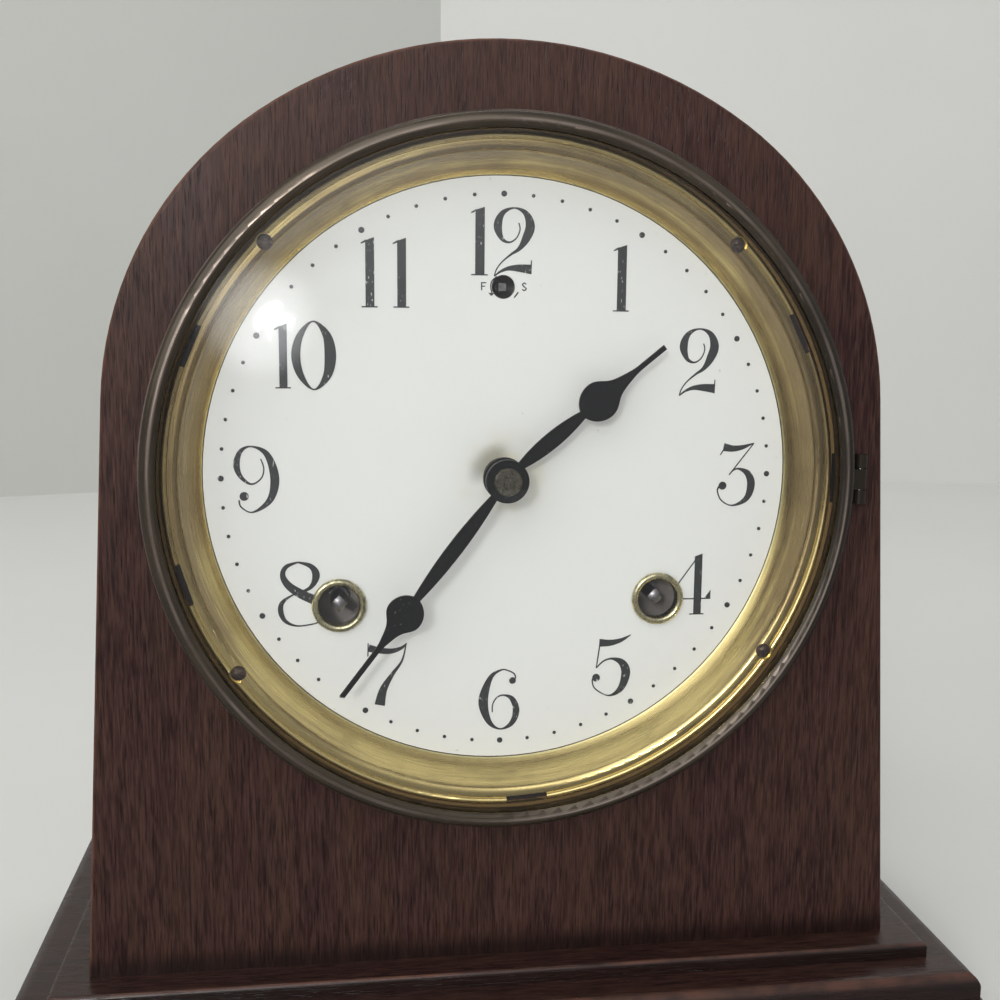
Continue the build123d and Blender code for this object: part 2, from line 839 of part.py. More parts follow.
def click_direction(side):
    return 0 if side > 0 else 180


def rounded_square(centre, side, turn, crown, front, back):
    """Square bar along the depth with its front end turned to a dome, which falls by the crown one side out."""
    radius = (side ** 2 + crown ** 2) / (2 * crown)
    half_way = (side / 2, front + radius - sqrt(radius ** 2 - side ** 2 / 4))
    dome = turned(ThreePointArc((0, front), half_way, (side, front + crown)), Line((side, front + crown), (side, back)),
                  Line((side, back), (0, back)), Line((0, back), (0, front)), centre=centre)
    return slab(Pos(*centre) * Rot(0, 0, turn) * Rectangle(side, side), front, back) & dome


def winding_arbor(side):
    """Arbor with the winding square in front, a ratchet behind the great wheel and a pivot at the back."""
    centre = winding_place(side)
    start = great_depth + great_thickness + ratchet_gap
    square_end = winding_end + winding_square_length
    body = rod(centre, winding_radius, square_end, back_plate_start - end_shake)
    body += rounded_square(centre, winding_square, winding_turn, winding_crown, winding_end, square_end)
    body += rod(centre, winding_pivot, back_plate_start - end_shake, back_plate_end + pivot_proud)
    step = 360 / ratchet_teeth
    points = []
    for count in range(ratchet_teeth):
        points.append(polar(ratchet_radius - ratchet_tooth, side * step * count, centre))
        points.append(polar(ratchet_radius, side * step * count, centre))
    return body + slab(make_face(Polyline(*points, close=True)), start, start + ratchet_thickness)


def click(side):
    """Click on the great wheel, its nose just clear of the ratchet."""
    centre = winding_place(side)
    turn = click_direction(side)
    eye = polar(click_reach, turn, centre)
    nose = polar(ratchet_radius + click_gap + click_nose, turn + side * click_turn_angle, centre)
    line = direction(eye, nose)
    outline = closed(polar(click_eye, line + 90, eye), polar(click_nose, line + 90, nose),
                     polar(click_nose, line - 90, nose), polar(click_eye, line - 90, eye))
    face = make_face(outline) + Pos(*eye) * Circle(click_eye) + Pos(*nose) * Circle(click_nose)
    face -= Pos(*eye) * Circle(click_stud + pivot_gap)
    start = great_depth + great_thickness + click_side
    return slab(face, start, start + click_thickness)


def mainspring(side):
    """Coiled flat spring, drawn out to a loop round the low pillar."""
    centre = winding_place(side)
    pillar = (side * pillar_low[0], pillar_low[1])
    axis = direction(centre, pillar) + side * degrees(acos(spring_outer / distance(centre, pillar)))
    face = Pos(*centre) * Rot(0, 0, axis) * spiral_face(spring_outer, spring_step, spring_half_turns, spring_strip, side)
    end = polar(spring_outer, axis, centre)
    line = direction(end, pillar)
    bore = pillar_radius + spring_loop_gap
    run = distance(end, pillar) - bore - spring_loop_wall / 2
    face += Pos(*polar(run / 2, line, end)) * Rot(0, 0, line) * Rectangle(run, spring_strip)
    face += Pos(*pillar) * (Circle(bore + spring_loop_wall) - Circle(bore))
    start = front_inner + spring_side
    return slab(face, start, start + spring_width)


def spiral_face(outer, step, half_turns, strip, side):
    """Flat spiral of an even number of half circles, from its outer end on +X inwards."""
    edges = [Line((outer - strip / 2, 0), (outer + strip / 2, 0))]
    for rim in (outer - strip / 2, outer + strip / 2):
        for count in range(half_turns):
            inward = count % 2
            radius, middle, up = rim - step * count, -step * inward, side * (1 - 2 * inward)
            edges.append(ThreePointArc((middle - radius, 0), (middle, up * radius), (middle + radius, 0)))
    inner = outer - step * half_turns
    edges.append(Line((inner - strip / 2, 0), (inner + strip / 2, 0)))
    return make_face(edges)


def train_wheel(centre, bars, bar_pitch, phase, driver_depth, driver_thickness, teeth, pitch, depth):
    """Arbor with a lantern pinion driven by the wheel before it and a wheel that drives the next."""
    body = arbor(centre) + lantern(centre, bars, bar_pitch, phase, driver_depth, driver_thickness)
    return body + wheel(centre, teeth, pitch, depth, wheel_thickness) + rod(centre, wheel_hub, depth,
                                                                         depth + wheel_thickness)


def second_wheel(side):
    centre = second_places[side]
    line = direction(winding_place(side), centre)
    phase = mate_phase(great_teeth, great_phase(side), pinion_bars, line)
    body = train_wheel(centre, pinion_bars, great_pitch, phase, great_depth, great_thickness,
                       second_teeth, second_pitch, second_depth)
    if side < 0:
        for count in range(lift_pins):
            place = polar(lift_pin_circle, (count + 0.5) * 360 / lift_pins, centre)
            body += rod(place, lift_pin_radius, second_depth - lift_pin_length, second_depth + wheel_thickness)
    return body


def third_wheel(side):
    centre = third_places[side]
    phase = mate_phase(second_teeth, 0, pinion_bars, direction(second_places[side], centre))
    return train_wheel(centre, pinion_bars, second_pitch, phase, second_depth, wheel_thickness,
                       third_teeth, third_pitch, third_depth)


def last_pinion(side, centre):
    """Arbor and pinion of the escape wheel or the fly, driven by the third wheel."""
    phase = mate_phase(third_teeth, 0, last_bars, direction(third_places[side], centre))
    body = arbor(centre, last_arbor_radius, last_pivot_radius)
    return body + lantern(centre, last_bars, third_pitch, phase, third_depth, wheel_thickness)


def escape_wheel():
    step = 360 / escape_teeth
    points = []
    for count in range(escape_teeth):
        points.append(polar(escape_radius - escape_tooth, step * count, escape_place))
        points += [polar(escape_radius, step * (count + share), escape_place) for share in escape_tip_shares]
    disc = slab(make_face(Polyline(*points, close=True)), escape_depth, escape_depth + wheel_thickness)
    return last_pinion(1, escape_place) + disc


def fly():
    """Air brake of the strike: a thin vane on the last arbor."""
    vane = block(fly_place[0] - fly_vane_radius, fly_place[0] + fly_vane_radius, fly_vane_depth,
                 fly_vane_depth + fly_vane_width, fly_place[1] - fly_vane_thickness / 2,
                 fly_place[1] + fly_vane_thickness / 2)
    return last_pinion(-1, fly_place) + vane


def centre_pinion():
    """Pinion that slips on the centre arbor when the hands are set."""
    phase = mate_phase(second_teeth, 0, centre_bars, direction(second_places[1], (0, 0)))
    pinion = lantern((0, 0), centre_bars, second_pitch, phase, second_depth, wheel_thickness)
    start = second_depth - pinion_side - shroud_thickness
    end = second_depth + wheel_thickness + pinion_side + shroud_thickness
    pinion += rod((0, 0), centre_radius + pipe_wall, start, end)
    return pinion - rod((0, 0), centre_radius + pivot_gap, start - overrun, end + overrun)


# Motion work

def leaf_pinion(centre, leaves, pitch, phase, front, back):
    return slab(Pos(*centre) * tooth_face(leaves, pitch, leaf_wheel_shares, phase), front, back)


def centre_arbor():
    """Arbor of the minute hand, with its pinion of leaves behind the dial."""
    end = minute_boss_front - nut_height
    body = rod((0, 0), centre_radius, end, back_plate_end + pivot_proud)
    body += square_bar((0, 0), arbor_square, end - arbor_end_proud, end)
    return body + leaf_pinion((0, 0), cannon_leaves, cannon_pitch, minute_phase_at_rest,
                              minute_wheel_depth - motion_overlap, minute_wheel_depth + motion_thickness + motion_overlap)


def minute_wheel():
    line = motion_angle
    phase = mate_phase(cannon_leaves, minute_phase_at_rest, minute_teeth, line)
    back = minute_wheel_depth + motion_thickness
    body = slab(Pos(*minute_place) * tooth_face(minute_teeth, cannon_pitch, leaf_wheel_shares, phase),
                minute_wheel_depth, back)
    body += leaf_pinion(minute_place, minute_leaves, hour_pitch, 0, hour_wheel_depth - motion_overlap,
                        minute_wheel_depth)
    return body - rod(minute_place, stud_radius + pivot_gap, -overrun, back + overrun)


def hour_wheel():
    """Wheel and pipe that carry the hour hand."""
    phase = mate_phase(minute_leaves, 0, hour_teeth, motion_angle + 180)
    back = hour_wheel_depth + motion_thickness
    body = slab(tooth_face(hour_teeth, hour_pitch, leaf_wheel_shares, phase), hour_wheel_depth, back)
    body += rod((0, 0), pipe_outer, -hour_hand_depth - hand_thickness, back)
    return body - rod((0, 0), centre_radius + pivot_gap, -hour_hand_depth - hand_thickness - overrun, back + overrun)


# Movement frame

def plate(front, holes):
    """Movement plate with its round holes, given as places and radii."""
    width, height = 2 * plate_half_width, plate_top + plate_bottom
    face = Pos(0, (plate_top - plate_bottom) / 2) * RectangleRounded(width, height, plate_corner)
    for place, radius in holes:
        face -= Pos(*place) * Circle(radius)
    return slab(face, front, front + plate_thickness)


def pivot_holes():
    places = list(second_places.values()) + list(third_places.values())
    holes = [(place, pivot_radius + pivot_gap) for place in places]
    holes += [(place, last_pivot_radius + pivot_gap) for place in (escape_place, fly_place)]
    holes += [(place, pillar_shoulder + screw_hole_gap) for place in pillar_places]
    holes += [((0, 0), centre_radius + pivot_gap), ((0, regulator_rise), regulator_radius + pivot_gap)]
    return holes


def front_plate():
    holes = pivot_holes() + [(place, winding_radius + pivot_gap) for place in winding_places]
    holes += [(place, plate_screw_shank + screw_hole_gap) for place in plate_screw_places]
    holes += [(place, pivot_radius + pivot_gap) for place in (verge_place, hammer_pivot)]
    stud = rod(minute_place, stud_radius, hour_wheel_depth - 2 * motion_overlap, plate_start)
    return plate(plate_start, holes) + stud


def back_plate():
    holes = pivot_holes() + [(place, winding_pivot + pivot_gap) for place in winding_places]
    holes += [(place, arbor_radius + pivot_gap) for place in (verge_place, hammer_pivot)]
    return plate(back_plate_start, holes)


def plate_pillars():
    """Pillars whose shoulders part the plates and whose ends pass through them."""
    return Compound([(rod(place, pillar_radius, front_inner, back_plate_start)
                      + rod(place, pillar_shoulder, plate_start, back_plate_end + pillar_nut_height)).solid()
                     for place in pillar_places])


def pillar_nuts():
    return Compound([slab(Pos(*place) * (RegularPolygon(pillar_nut_radius, 6) - Circle(pillar_shoulder + screw_hole_gap)),
                          back_plate_end, back_plate_end + pillar_nut_height).solid() for place in pillar_places])


def movement_posts():
    """Spacers between the front board and the movement."""
    return Compound([(rod(place, post_radius, board_back, plate_start)
                      - rod(place, plate_screw_shank + screw_hole_gap, board_back - overrun, plate_start + overrun)).solid()
                     for place in plate_screw_places])


def movement_screws():
    length = plate_thickness + plate_start - board_back + plate_screw_grip
    return Compound([round_head_screw(place, front_inner, plate_screw_head, plate_screw_crown, plate_screw_shank,
                                      length, plate_screw_slot, 1).solid() for place in plate_screw_places])


# Escapement and pendulum

def verge():
    """Anchor, arbor and crutch, which follow the pendulum."""
    tip = escape_radius + pallet_clear
    left_in, right_in = (polar(tip, 90 + sign * pallet_spread_angle, escape_place) for sign in (1, -1))
    left_out, right_out = (polar(tip + pallet_width, 90 + sign * (pallet_spread_angle + pallet_flare_angle), escape_place)
                           for sign in (1, -1))
    crest = (verge_place[0], verge_place[1] + verge_crest)
    belly = (verge_place[0], verge_place[1] - verge_crest / 2)
    face = make_face([ThreePointArc(left_out, crest, right_out), Line(right_out, right_in),
                      ThreePointArc(right_in, belly, left_in), Line(left_in, left_out)])
    face += Pos(*verge_place) * Circle(verge_crest)
    body = slab(face, escape_depth, escape_depth + wheel_thickness)
    body += rod(verge_place, arbor_radius, front_inner + end_shake, crutch_depth + crutch_thickness)
    body += rod(verge_place, pivot_radius, plate_start - pivot_proud, front_inner + end_shake)
    low = fork_height_centre - fork_height / 2
    body += block(-crutch_half_width, crutch_half_width, crutch_depth, crutch_depth + crutch_thickness, low,
                  verge_place[1] + arbor_radius)
    slot = pendulum_rod_radius + fork_gap
    fork = block(-fork_half_width, fork_half_width, crutch_depth, pendulum_depth + fork_half_width, low,
                 low + fork_height)
    fork -= block(-slot, slot, pendulum_depth - slot, pendulum_depth + fork_half_width + overrun, low - overrun,
                  low + fork_height + overrun)
    return body + fork


def pendulum_rod():
    """Flat suspension spring with its cross pin, and the wire that hangs from it."""
    strip_low = suspension_pivot - suspension_height
    front, back = pendulum_depth - suspension_width / 2, pendulum_depth + suspension_width / 2
    strip = block(-suspension_strip / 2, suspension_strip / 2, front, back, strip_low, suspension_pivot)
    strip += rod((0, suspension_pivot), suspension_pin, front, back)
    wire = upright(0, pendulum_depth, pendulum_rod_radius, bob_centre + bob_radius * (1 - rod_seat_share),
                   strip_low + pendulum_rod_radius)
    return strip + wire


def pendulum_bob():
    """Lens-shaped bob with a bore for the end of the rod."""
    edge, half = bob_edge / 2, bob_thickness / 2
    bulge = edge + (half - edge) * bob_curve_share
    front, back = pendulum_depth - half, pendulum_depth + half
    front_edge, back_edge = (bob_radius, pendulum_depth - edge), (bob_radius, pendulum_depth + edge)
    disc = turned(
        Line((0, front), (0, back)), ThreePointArc((0, back), (bob_radius / 2, pendulum_depth + bulge), back_edge),
        Line(back_edge, front_edge), ThreePointArc(front_edge, (bob_radius / 2, pendulum_depth - bulge), (0, front)),
        centre=(0, bob_centre))
    return disc - upright(0, pendulum_depth, pendulum_rod_radius + hub_seat,
                          bob_centre + bob_radius * (1 - rod_seat_share), bob_centre + bob_radius + overrun)


def suspension_post():
    """Block on the back plate that holds the suspension spring's pin, with rails that guide the slide."""
    back = pendulum_depth + suspension_width
    post = block(-post_half_width, post_half_width, back_plate_end, back, post_low, post_low + post_height)
    inner, outer = slide_half_width + slide_play, slide_half_width + slide_play + rail_width
    rail_back = crutch_depth + crutch_thickness + rail_proud
    post += block(-outer, outer, back_plate_end, rail_back, post_low, post_low + post_height)
    for left in (-outer, inner):
        post += block(left, left + rail_width, back_plate_end, rail_back, post_low - rail_drop, post_low)
    slot = suspension_strip / 2 + post_slot_gap
    start = pendulum_depth - suspension_width / 2 - post_slot_gap
    post -= rod((0, suspension_pivot), suspension_pin + pivot_gap, start, back + overrun)
    return post - block(-slot, slot, start, back + overrun, post_low - overrun, suspension_pivot)


def suspension_slide():
    """Chops that move along the suspension spring when the eccentric of the regulator turns."""
    back = pendulum_depth + suspension_width
    top, low = regulator_rise + slide_top, regulator_rise - slide_drop
    slide = block(-slide_half_width, slide_half_width, crutch_depth, crutch_depth + crutch_thickness, low, top)
    slide += block(-slide_half_width, slide_half_width, crutch_depth, back, low, low + slide_chop_height)
    slide -= block(-slide_slit, slide_slit, pendulum_depth - suspension_width / 2 - slide_slit / 2, back + overrun,
                   low - overrun, low + slide_chop_height + overrun)
    reach = eccentric_throw + eccentric_radius + slide_play
    slot = eccentric_radius + slide_play
    return slide - block(-reach, reach, crutch_depth - overrun, crutch_depth + crutch_thickness + overrun,
                         regulator_rise - slot, regulator_rise + slot)


def regulator_arbor():
    """Arbor from the hole under twelve to the suspension, with a square in front and an eccentric pin behind."""
    centre = (0, regulator_rise)
    square_end = regulator_end + regulator_square_length
    pin_start = crutch_depth - end_shake
    body = square_bar(centre, regulator_square, regulator_end, square_end)
    body += rod(centre, regulator_radius, square_end, pin_start)
    return body + rod((-eccentric_throw, regulator_rise), eccentric_radius, pin_start - regulator_radius,
                      crutch_depth + crutch_thickness)


# Strike

def hammer():
    """Hammer arbor with its lifting tail, wire arm and head."""
    line = direction(hammer_pivot, second_places[-1])
    body = rod(hammer_pivot, arbor_radius, front_inner + end_shake, gong_depth + hammer_wire)
    body += rod(hammer_pivot, pivot_radius, plate_start - pivot_proud, front_inner + end_shake)
    tail_depth = second_depth - lift_pin_length
    middle = polar(hammer_tail_length / 2, line, hammer_pivot)
    body += slab(Pos(*middle) * Rot(0, 0, line) * Rectangle(hammer_tail_length, hammer_wire), tail_depth,
                 tail_depth + hammer_wire)
    arm = direction(hammer_pivot, hammer_head_place)
    arm_length = distance(hammer_pivot, hammer_head_place)
    arm_middle = polar(arm_length / 2, arm, hammer_pivot)
    body += slab(Pos(*arm_middle) * Rot(0, 0, arm) * Rectangle(arm_length, hammer_wire),
                 gong_depth - hammer_wire / 2, gong_depth + hammer_wire / 2)
    head = Plane((hammer_head_place[0] - hammer_head_length / 2, gong_depth, hammer_head_place[1]), z_dir=(1, 0, 0))
    return body + extrude(head * Circle(hammer_head_radius), hammer_head_length)


def gong_coil():
    """Coiled wire gong, wound in half circles out of its stand."""
    def at(x, z):
        return (gong_centre[0] + x, gong_depth, gong_centre[1] + z)

    start = gong_inner
    path = [Line(at(start, -gong_block_height), at(start, 0))]
    x, sign = start, 1
    for count in range(gong_half_turns):
        radius = gong_inner + gong_step * count
        middle = x - sign * radius
        path.append(ThreePointArc(at(x, 0), at(middle, sign * radius), at(middle - sign * radius, 0)))
        x, sign = middle - sign * radius, -sign
    begin = Plane(at(start, -gong_block_height), z_dir=(0, 0, 1))
    return sweep(begin * Circle(gong_wire), path=Wire([piece.edge() for piece in path]))


def gong_stand():
    """Iron stand: a foot on the floor, a post behind the coil and a block that holds the coil's inner end."""
    x, z = gong_centre[0] + gong_inner, gong_centre[1]
    top = z - gong_block_gap
    stand = block(x - gong_post_half, x + gong_post_half, gong_post_front, gong_post_back, floor, top)
    stand += block(x - gong_block_half, x + gong_block_half, gong_depth - gong_block_half, gong_post_front,
                   top - gong_block_height, top)
    stand += block(x - gong_foot_half, x + gong_foot_half, gong_post_back - gong_foot_depth, gong_post_back, floor,
                   floor + gong_foot_height)
    for place in gong_screw_places:
        stand -= upright(*place, gong_screw_radius + screw_hole_gap, floor - overrun, floor + gong_foot_height + overrun)
    return stand - upright(x, gong_depth, gong_wire + hub_seat, z - gong_block_height, z + overrun)


def gong_screws():
    top = floor + gong_foot_height
    return Compound([(upright(*place, gong_screw_radius, top - gong_screw_grip, top)
                      + upright(*place, gong_screw_head, top, top + gong_screw_crown)).solid()
                     for place in gong_screw_places])


# Places that several pieces share
shoulder_centre = polar(crown_radius - shoulder_radius, 90 - crown_half_angle)
ring_screw_places = [clock_polar(ring_screw_radius, angle) for angle in ring_screw_angles]
plate_screw_places = [(side * (plate_half_width - plate_screw_inset), height) for side in (1, -1)
                      for height in (plate_top - plate_screw_inset, plate_screw_inset - plate_bottom)]
pillar_places = [(side * place[0], place[1]) for side in (1, -1) for place in (pillar_top, pillar_low)]
bezel_pin_x = bezel_radius + bezel_hinge_gap + knuckle_radius
bezel_pin_depth = board_face - knuckle_lift - knuckle_radius
door_radius = access_radius + door_lap
door_back = back_outer + door_gap + door_thickness
door_knob_place = (door_knob_inset - door_radius, -access_drop)
back_pin_x = door_radius + door_hinge_gap + knuckle_radius
back_pin_depth = back_outer + knuckle_radius + hinge_end_gap
eyelet_tube = eyelet_bore + eyelet_wall
bezel_back = board_face - bezel_gap
bezel_front = bezel_back - bezel_depth
bezel_lip_back = bezel_front + bezel_wall
glass_radius = bezel_radius - bezel_wall - glass_edge_room
pipe_outer = centre_radius + pivot_gap + pipe_wall
minute_boss_front = -minute_hand_depth - minute_boss_height
minute_phase_at_rest = 90 - minute_angle
cannon_pitch = 2 * pi * motion_distance / (cannon_leaves + minute_teeth)
hour_pitch = 2 * pi * motion_distance / (minute_leaves + hour_teeth)
minute_place = polar(motion_distance, motion_angle)
glass_crown = bezel_lip_back + glass_lip_room - glass_drop(bezel_lip_radius)


def winding_place(side):
    return (side * winding_x, -winding_drop)


winding_places = [winding_place(side) for side in (1, -1)]


def meet(start, start_reach, end, end_reach):
    """Point at two given reaches from two points, on the left of the line from the first to the second."""
    span = distance(start, end)
    along = (start_reach ** 2 - end_reach ** 2 + span ** 2) / (2 * span)
    line = direction(start, end)
    return polar(sqrt(start_reach ** 2 - along ** 2), line + 90, polar(along, line, start))


great_reach = pitch_radius(great_teeth + pinion_bars, great_pitch)
second_reach = pitch_radius(second_teeth + pinion_bars, second_pitch)
third_reach = pitch_radius(third_teeth + last_bars, third_pitch)
centre_reach = pitch_radius(second_teeth + centre_bars, second_pitch)
second_places = {1: meet((0, 0), centre_reach, winding_place(1), great_reach),
                 -1: polar(great_reach, strike_second_angle, winding_place(-1))}
third_places = {1: polar(second_reach, time_third_angle, second_places[1]),
                -1: polar(second_reach, strike_third_angle, second_places[-1])}
escape_place = polar(third_reach, escape_angle, third_places[1])
fly_place = polar(third_reach, fly_angle, third_places[-1])
verge_place = (escape_place[0], escape_place[1] + verge_rise)
fork_height_centre = verge_place[1] - crutch_drop
post_low = regulator_rise + post_lift
suspension_pivot = post_low + suspension_grip
bob_centre = suspension_pivot - pendulum_length
gong_outer = gong_inner + gong_step * (gong_half_turns - 1)
gong_left = gong_centre[0] - gong_outer - gong_step - gong_wire
hammer_head_place = (gong_left - hammer_gap - hammer_head_length / 2, gong_centre[1])
gong_screw_places = [(gong_centre[0] + gong_inner + sign * (gong_post_half + gong_foot_half) / 2,
                      (gong_post_front + gong_post_back) / 2) for sign in (1, -1)]

nodes = {
    "base_plinth": base_step(plinth_overhang, plinth_height, floor - cap_height - moulding_height, plinth_round),
    "base_moulding": base_step(moulding_overhang, moulding_height, floor - cap_height, moulding_round),
    "base_cap": base_cap(),
    "front_board": front_board(),
    "case_shell": case_shell(),
    "back_board": back_board(),
    "back_leaf": back_leaf(),
    "back_pin": hinge_pin(back_pin_x, back_pin_depth, -access_drop),
    "back_door": back_door(),
    "back_door_knob": back_door_knob(),
    "dial_plate": dial_plate(),
    "sight_ring": sight_ring(),
    "sight_ring_screws": sight_ring_screws(),
    "winding_eyelets": winding_eyelets(),
    "bezel_ring": bezel_ring(),
    "bezel_glass": bezel_glass(),
    "glass_retainer": glass_retainer(),
    "bezel_leaf": bezel_leaf(),
    "case_leaf": case_leaf(),
    "bezel_pin": hinge_pin(bezel_pin_x, bezel_pin_depth, 0),
    "hour_hand": hour_hand(),
    "hour_wheel": hour_wheel(),
    "minute_hand": minute_hand(),
    "hand_nut": hand_nut(),
    "centre_arbor": centre_arbor(),
    "minute_wheel": minute_wheel(),
    "front_plate": front_plate(),
    "back_plate": back_plate(),
    "plate_pillars": plate_pillars(),
    "pillar_nuts": pillar_nuts(),
    "movement_posts": movement_posts(),
    "movement_screws": movement_screws(),
    "centre_pinion": centre_pinion(),
    "escape_wheel": escape_wheel(),
    "verge": verge(),
    "pendulum_rod": pendulum_rod(),
    "pendulum_bob": pendulum_bob(),
    "suspension_post": suspension_post(),
    "suspension_slide": suspension_slide(),
    "regulator_arbor": regulator_arbor(),
    "fly": fly(),
    "hammer": hammer(),
    "gong_coil": gong_coil(),
    "gong_stand": gong_stand(),
    "gong_screws": gong_screws(),
}
for train, side in (("time", 1), ("strike", -1)):
    nodes[train + "_great_wheel"] = great_wheel(side)
    nodes[train + "_winding_arbor"] = winding_arbor(side)
    nodes[train + "_click"] = click(side)
    nodes[train + "_mainspring"] = mainspring(side)
    nodes[train + "_second_wheel"] = second_wheel(side)
    nodes[train + "_third_wheel"] = third_wheel(side)

base_height = cap_height + moulding_height + plinth_height
base_middle = (board_face - plinth_overhang + case_back + base_back_margin) / 2
standing = Pos(0, -base_middle, dial_rise + base_height)

os.makedirs("parts", exist_ok=True)
for name, shape in nodes.items():
    export_step(standing * shape, f"parts/{name}.step")
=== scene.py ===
"""Looks of an arched shelf clock: finishes for its CAD pieces, the dial's printed marks, and a plain stage.

Lengths in the code are metres in the part's own frame, unless a name ends in _mm.
"""

import math

import bmesh
import bpy
from mathutils import Matrix, Quaternion, Vector


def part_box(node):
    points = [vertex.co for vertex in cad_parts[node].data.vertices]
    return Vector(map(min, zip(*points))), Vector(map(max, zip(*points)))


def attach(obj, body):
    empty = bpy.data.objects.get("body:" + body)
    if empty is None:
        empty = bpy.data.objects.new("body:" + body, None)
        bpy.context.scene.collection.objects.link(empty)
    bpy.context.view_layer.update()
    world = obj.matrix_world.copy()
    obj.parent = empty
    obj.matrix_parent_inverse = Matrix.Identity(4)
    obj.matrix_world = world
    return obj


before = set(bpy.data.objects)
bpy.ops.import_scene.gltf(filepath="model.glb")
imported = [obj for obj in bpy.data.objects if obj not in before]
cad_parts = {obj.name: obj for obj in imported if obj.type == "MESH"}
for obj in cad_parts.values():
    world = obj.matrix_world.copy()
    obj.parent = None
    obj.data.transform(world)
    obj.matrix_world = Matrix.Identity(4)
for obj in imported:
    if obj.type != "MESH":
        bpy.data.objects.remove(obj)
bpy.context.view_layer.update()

bl_info = {
    "name": "Arched shelf clock",
    "version": (1, 0, 0),
    "blender": (4, 5, 0),
    "location": "View3D > Sidebar > Clock",
    "description": "Finishes, dial marks and stage of an arched shelf clock",
    "category": "Object",
}

MM = 0.001


def tone(red, green, blue):
    """A screen colour of 0 to 255 as the linear colour that Blender's sockets take."""
    shares = (value / 255 for value in (red, green, blue))
    return tuple(v / 12.92 if v <= 0.04045 else ((v + 0.055) / 1.055) ** 2.4 for v in shares)


def colour_setting(name, description, red, green, blue):
    """A setting for a colour, whose default is given as a screen colour."""
    return bpy.props.FloatVectorProperty(name=name, description=description, subtype="COLOR", size=3, min=0, max=1,
                                         default=tone(red, green, blue))


def dimmed(colour, share):
    """A darker tone of a colour."""
    return tuple(value * share for value in colour)


NOISE_ROUGHNESS = 0.55
GLASS_ROUGHNESS = 0.055
# Bands on the turned pieces, as inner and outer radius from the dial's axis: grime and a rubbed bead on the ring,
# a painted reflection on the board under the rim, and on the rim a ridge and a brim that are worn and carry painted
# highlights, and a crest with a painted highlight.
RING_GRIME = (74.2 * MM, 76.2 * MM)
RING_BEAD = (77.0 * MM, 77.6 * MM)
BOARD_PAINTED_GLEAM = (78.9 * MM, 82.5 * MM)
RIM_RIDGE_WEAR_AND_GLEAM = (80.7 * MM, 81.4 * MM)
RIM_CREST_HIGHLIGHT = (80.9 * MM, 81.3 * MM)
RIM_BRIM_WEAR_AND_GLEAM = (83.05 * MM, 83.5 * MM)
# Radii between which the board turns dark under the ring.
BOARD_SHADE = (78.8 * MM, 78.6 * MM)
# Depths in front of the dial, from and to: where the ring is painted paler towards its lip, where the lip carries a
# painted highlight, and where painted shade darkens its foot against the dial.
RING_LIT_NEAR_LIP = (1.5 * MM, 0.6 * MM)
RING_LIP_HIGHLIGHT = (0.6 * MM, 0.4 * MM)
RING_FOOT_SHADE = (0.26 * MM, 0.14 * MM)
# Radii from and to which the marks round the hands' hub set in.
HUB_SMUDGE = (9.5 * MM, 5.5 * MM)
HUB_STAIN = (14 * MM, 4 * MM)
# Heights above the front board's foot, from and to which a painted shadow darkens the wood, and depths below its crown
# over which the veneer is painted paler towards the top as painted light.
FOOT_SHADOW_HEIGHTS = (7 * MM, 1.5 * MM)
LIT_TOP_DEPTHS = (60 * MM, 15 * MM)
# The room: half its width, how far behind the clock its corner is, its height, and how far right the corner lies.
ROOM_WIDE, ROOM_DEEP, ROOM_TALL, WALL_FOLD = 3.0, 1.1, 2.4, 0.08
# How far the outer end of each wall comes forward of the corner.
LEFT_WALL_TURN, RIGHT_WALL_TURN = 0.9, 0.5
# The large lamps in front: degrees to the right and up from the dial, distance, size.
SOFTBOX = (-36, 36, 1.6, (2.4, 1.6))
KEY = (-20, 15, 1.3, (0.2, 0.2))
# The lamp on the walls: its place, where it points, its size.
WALL_WASH = ((0.3, 0.4, 1.6), (0.1, ROOM_DEEP, 0.5), (1.4, 0.3))
# The lamps that the glass mirrors: name, degrees to the right and up, size, share of the window's power, roll.
WINDOW_LAMPS = (
    ("window", -25.0, 14.9, (0.08, 0.034), 0.4, 42),
    ("window_edge", -22.4, 14.0, (0.045, 0.05), 0.05, 0),
    ("window_pane", -24.6, 12.6, (0.014, 0.05), 0.04, -8),
    ("window_foot", -26.2, 13.4, (0.022, 0.03), 0.05, 0),
)
WINDOW_AWAY = 1.2
# The glow round those lamps: its middle in degrees to the right and up, and its reach in degrees.
GLOW_AIM, GLOW_REACH = (-24, 12.8), 8
# Parts of a direction, from and to which the room's light grows: upwards, to the left and to the front.
CEILING_RISE, LEFT_SIDE, FRONT_SIDE = (-0.1, 0.6), (0.3, -0.2), (-0.2, -0.5)
# The slanting edges of the brighter places that the glass mirrors.
BEAM_SLOPE, VEIL_EDGE, WEDGE_EDGE = 0.22, (0.32, 0.36), (0.43, 0.45)
WARM_WHITE, WHITE = (1.0, 0.99, 0.97), (1.0, 1.0, 0.98)
COOL_WHITE, ROOM_WHITE = (0.96, 0.98, 1.0), (0.96, 0.97, 1.0)
# The photographer's place, worked out from the ring of dots: the camera's axes and its place, row by row.
CAMERA_ROWS = (
    (0.99117214, 0.01146095, -0.13208496, -0.038843),
    (-0.13232411, 0.14753404, -0.98016531, -0.316627),
    (0.0082534, 0.98899057, 0.14774819, 0.183848),
    (0.0, 0.0, 0.0, 1.0),
)
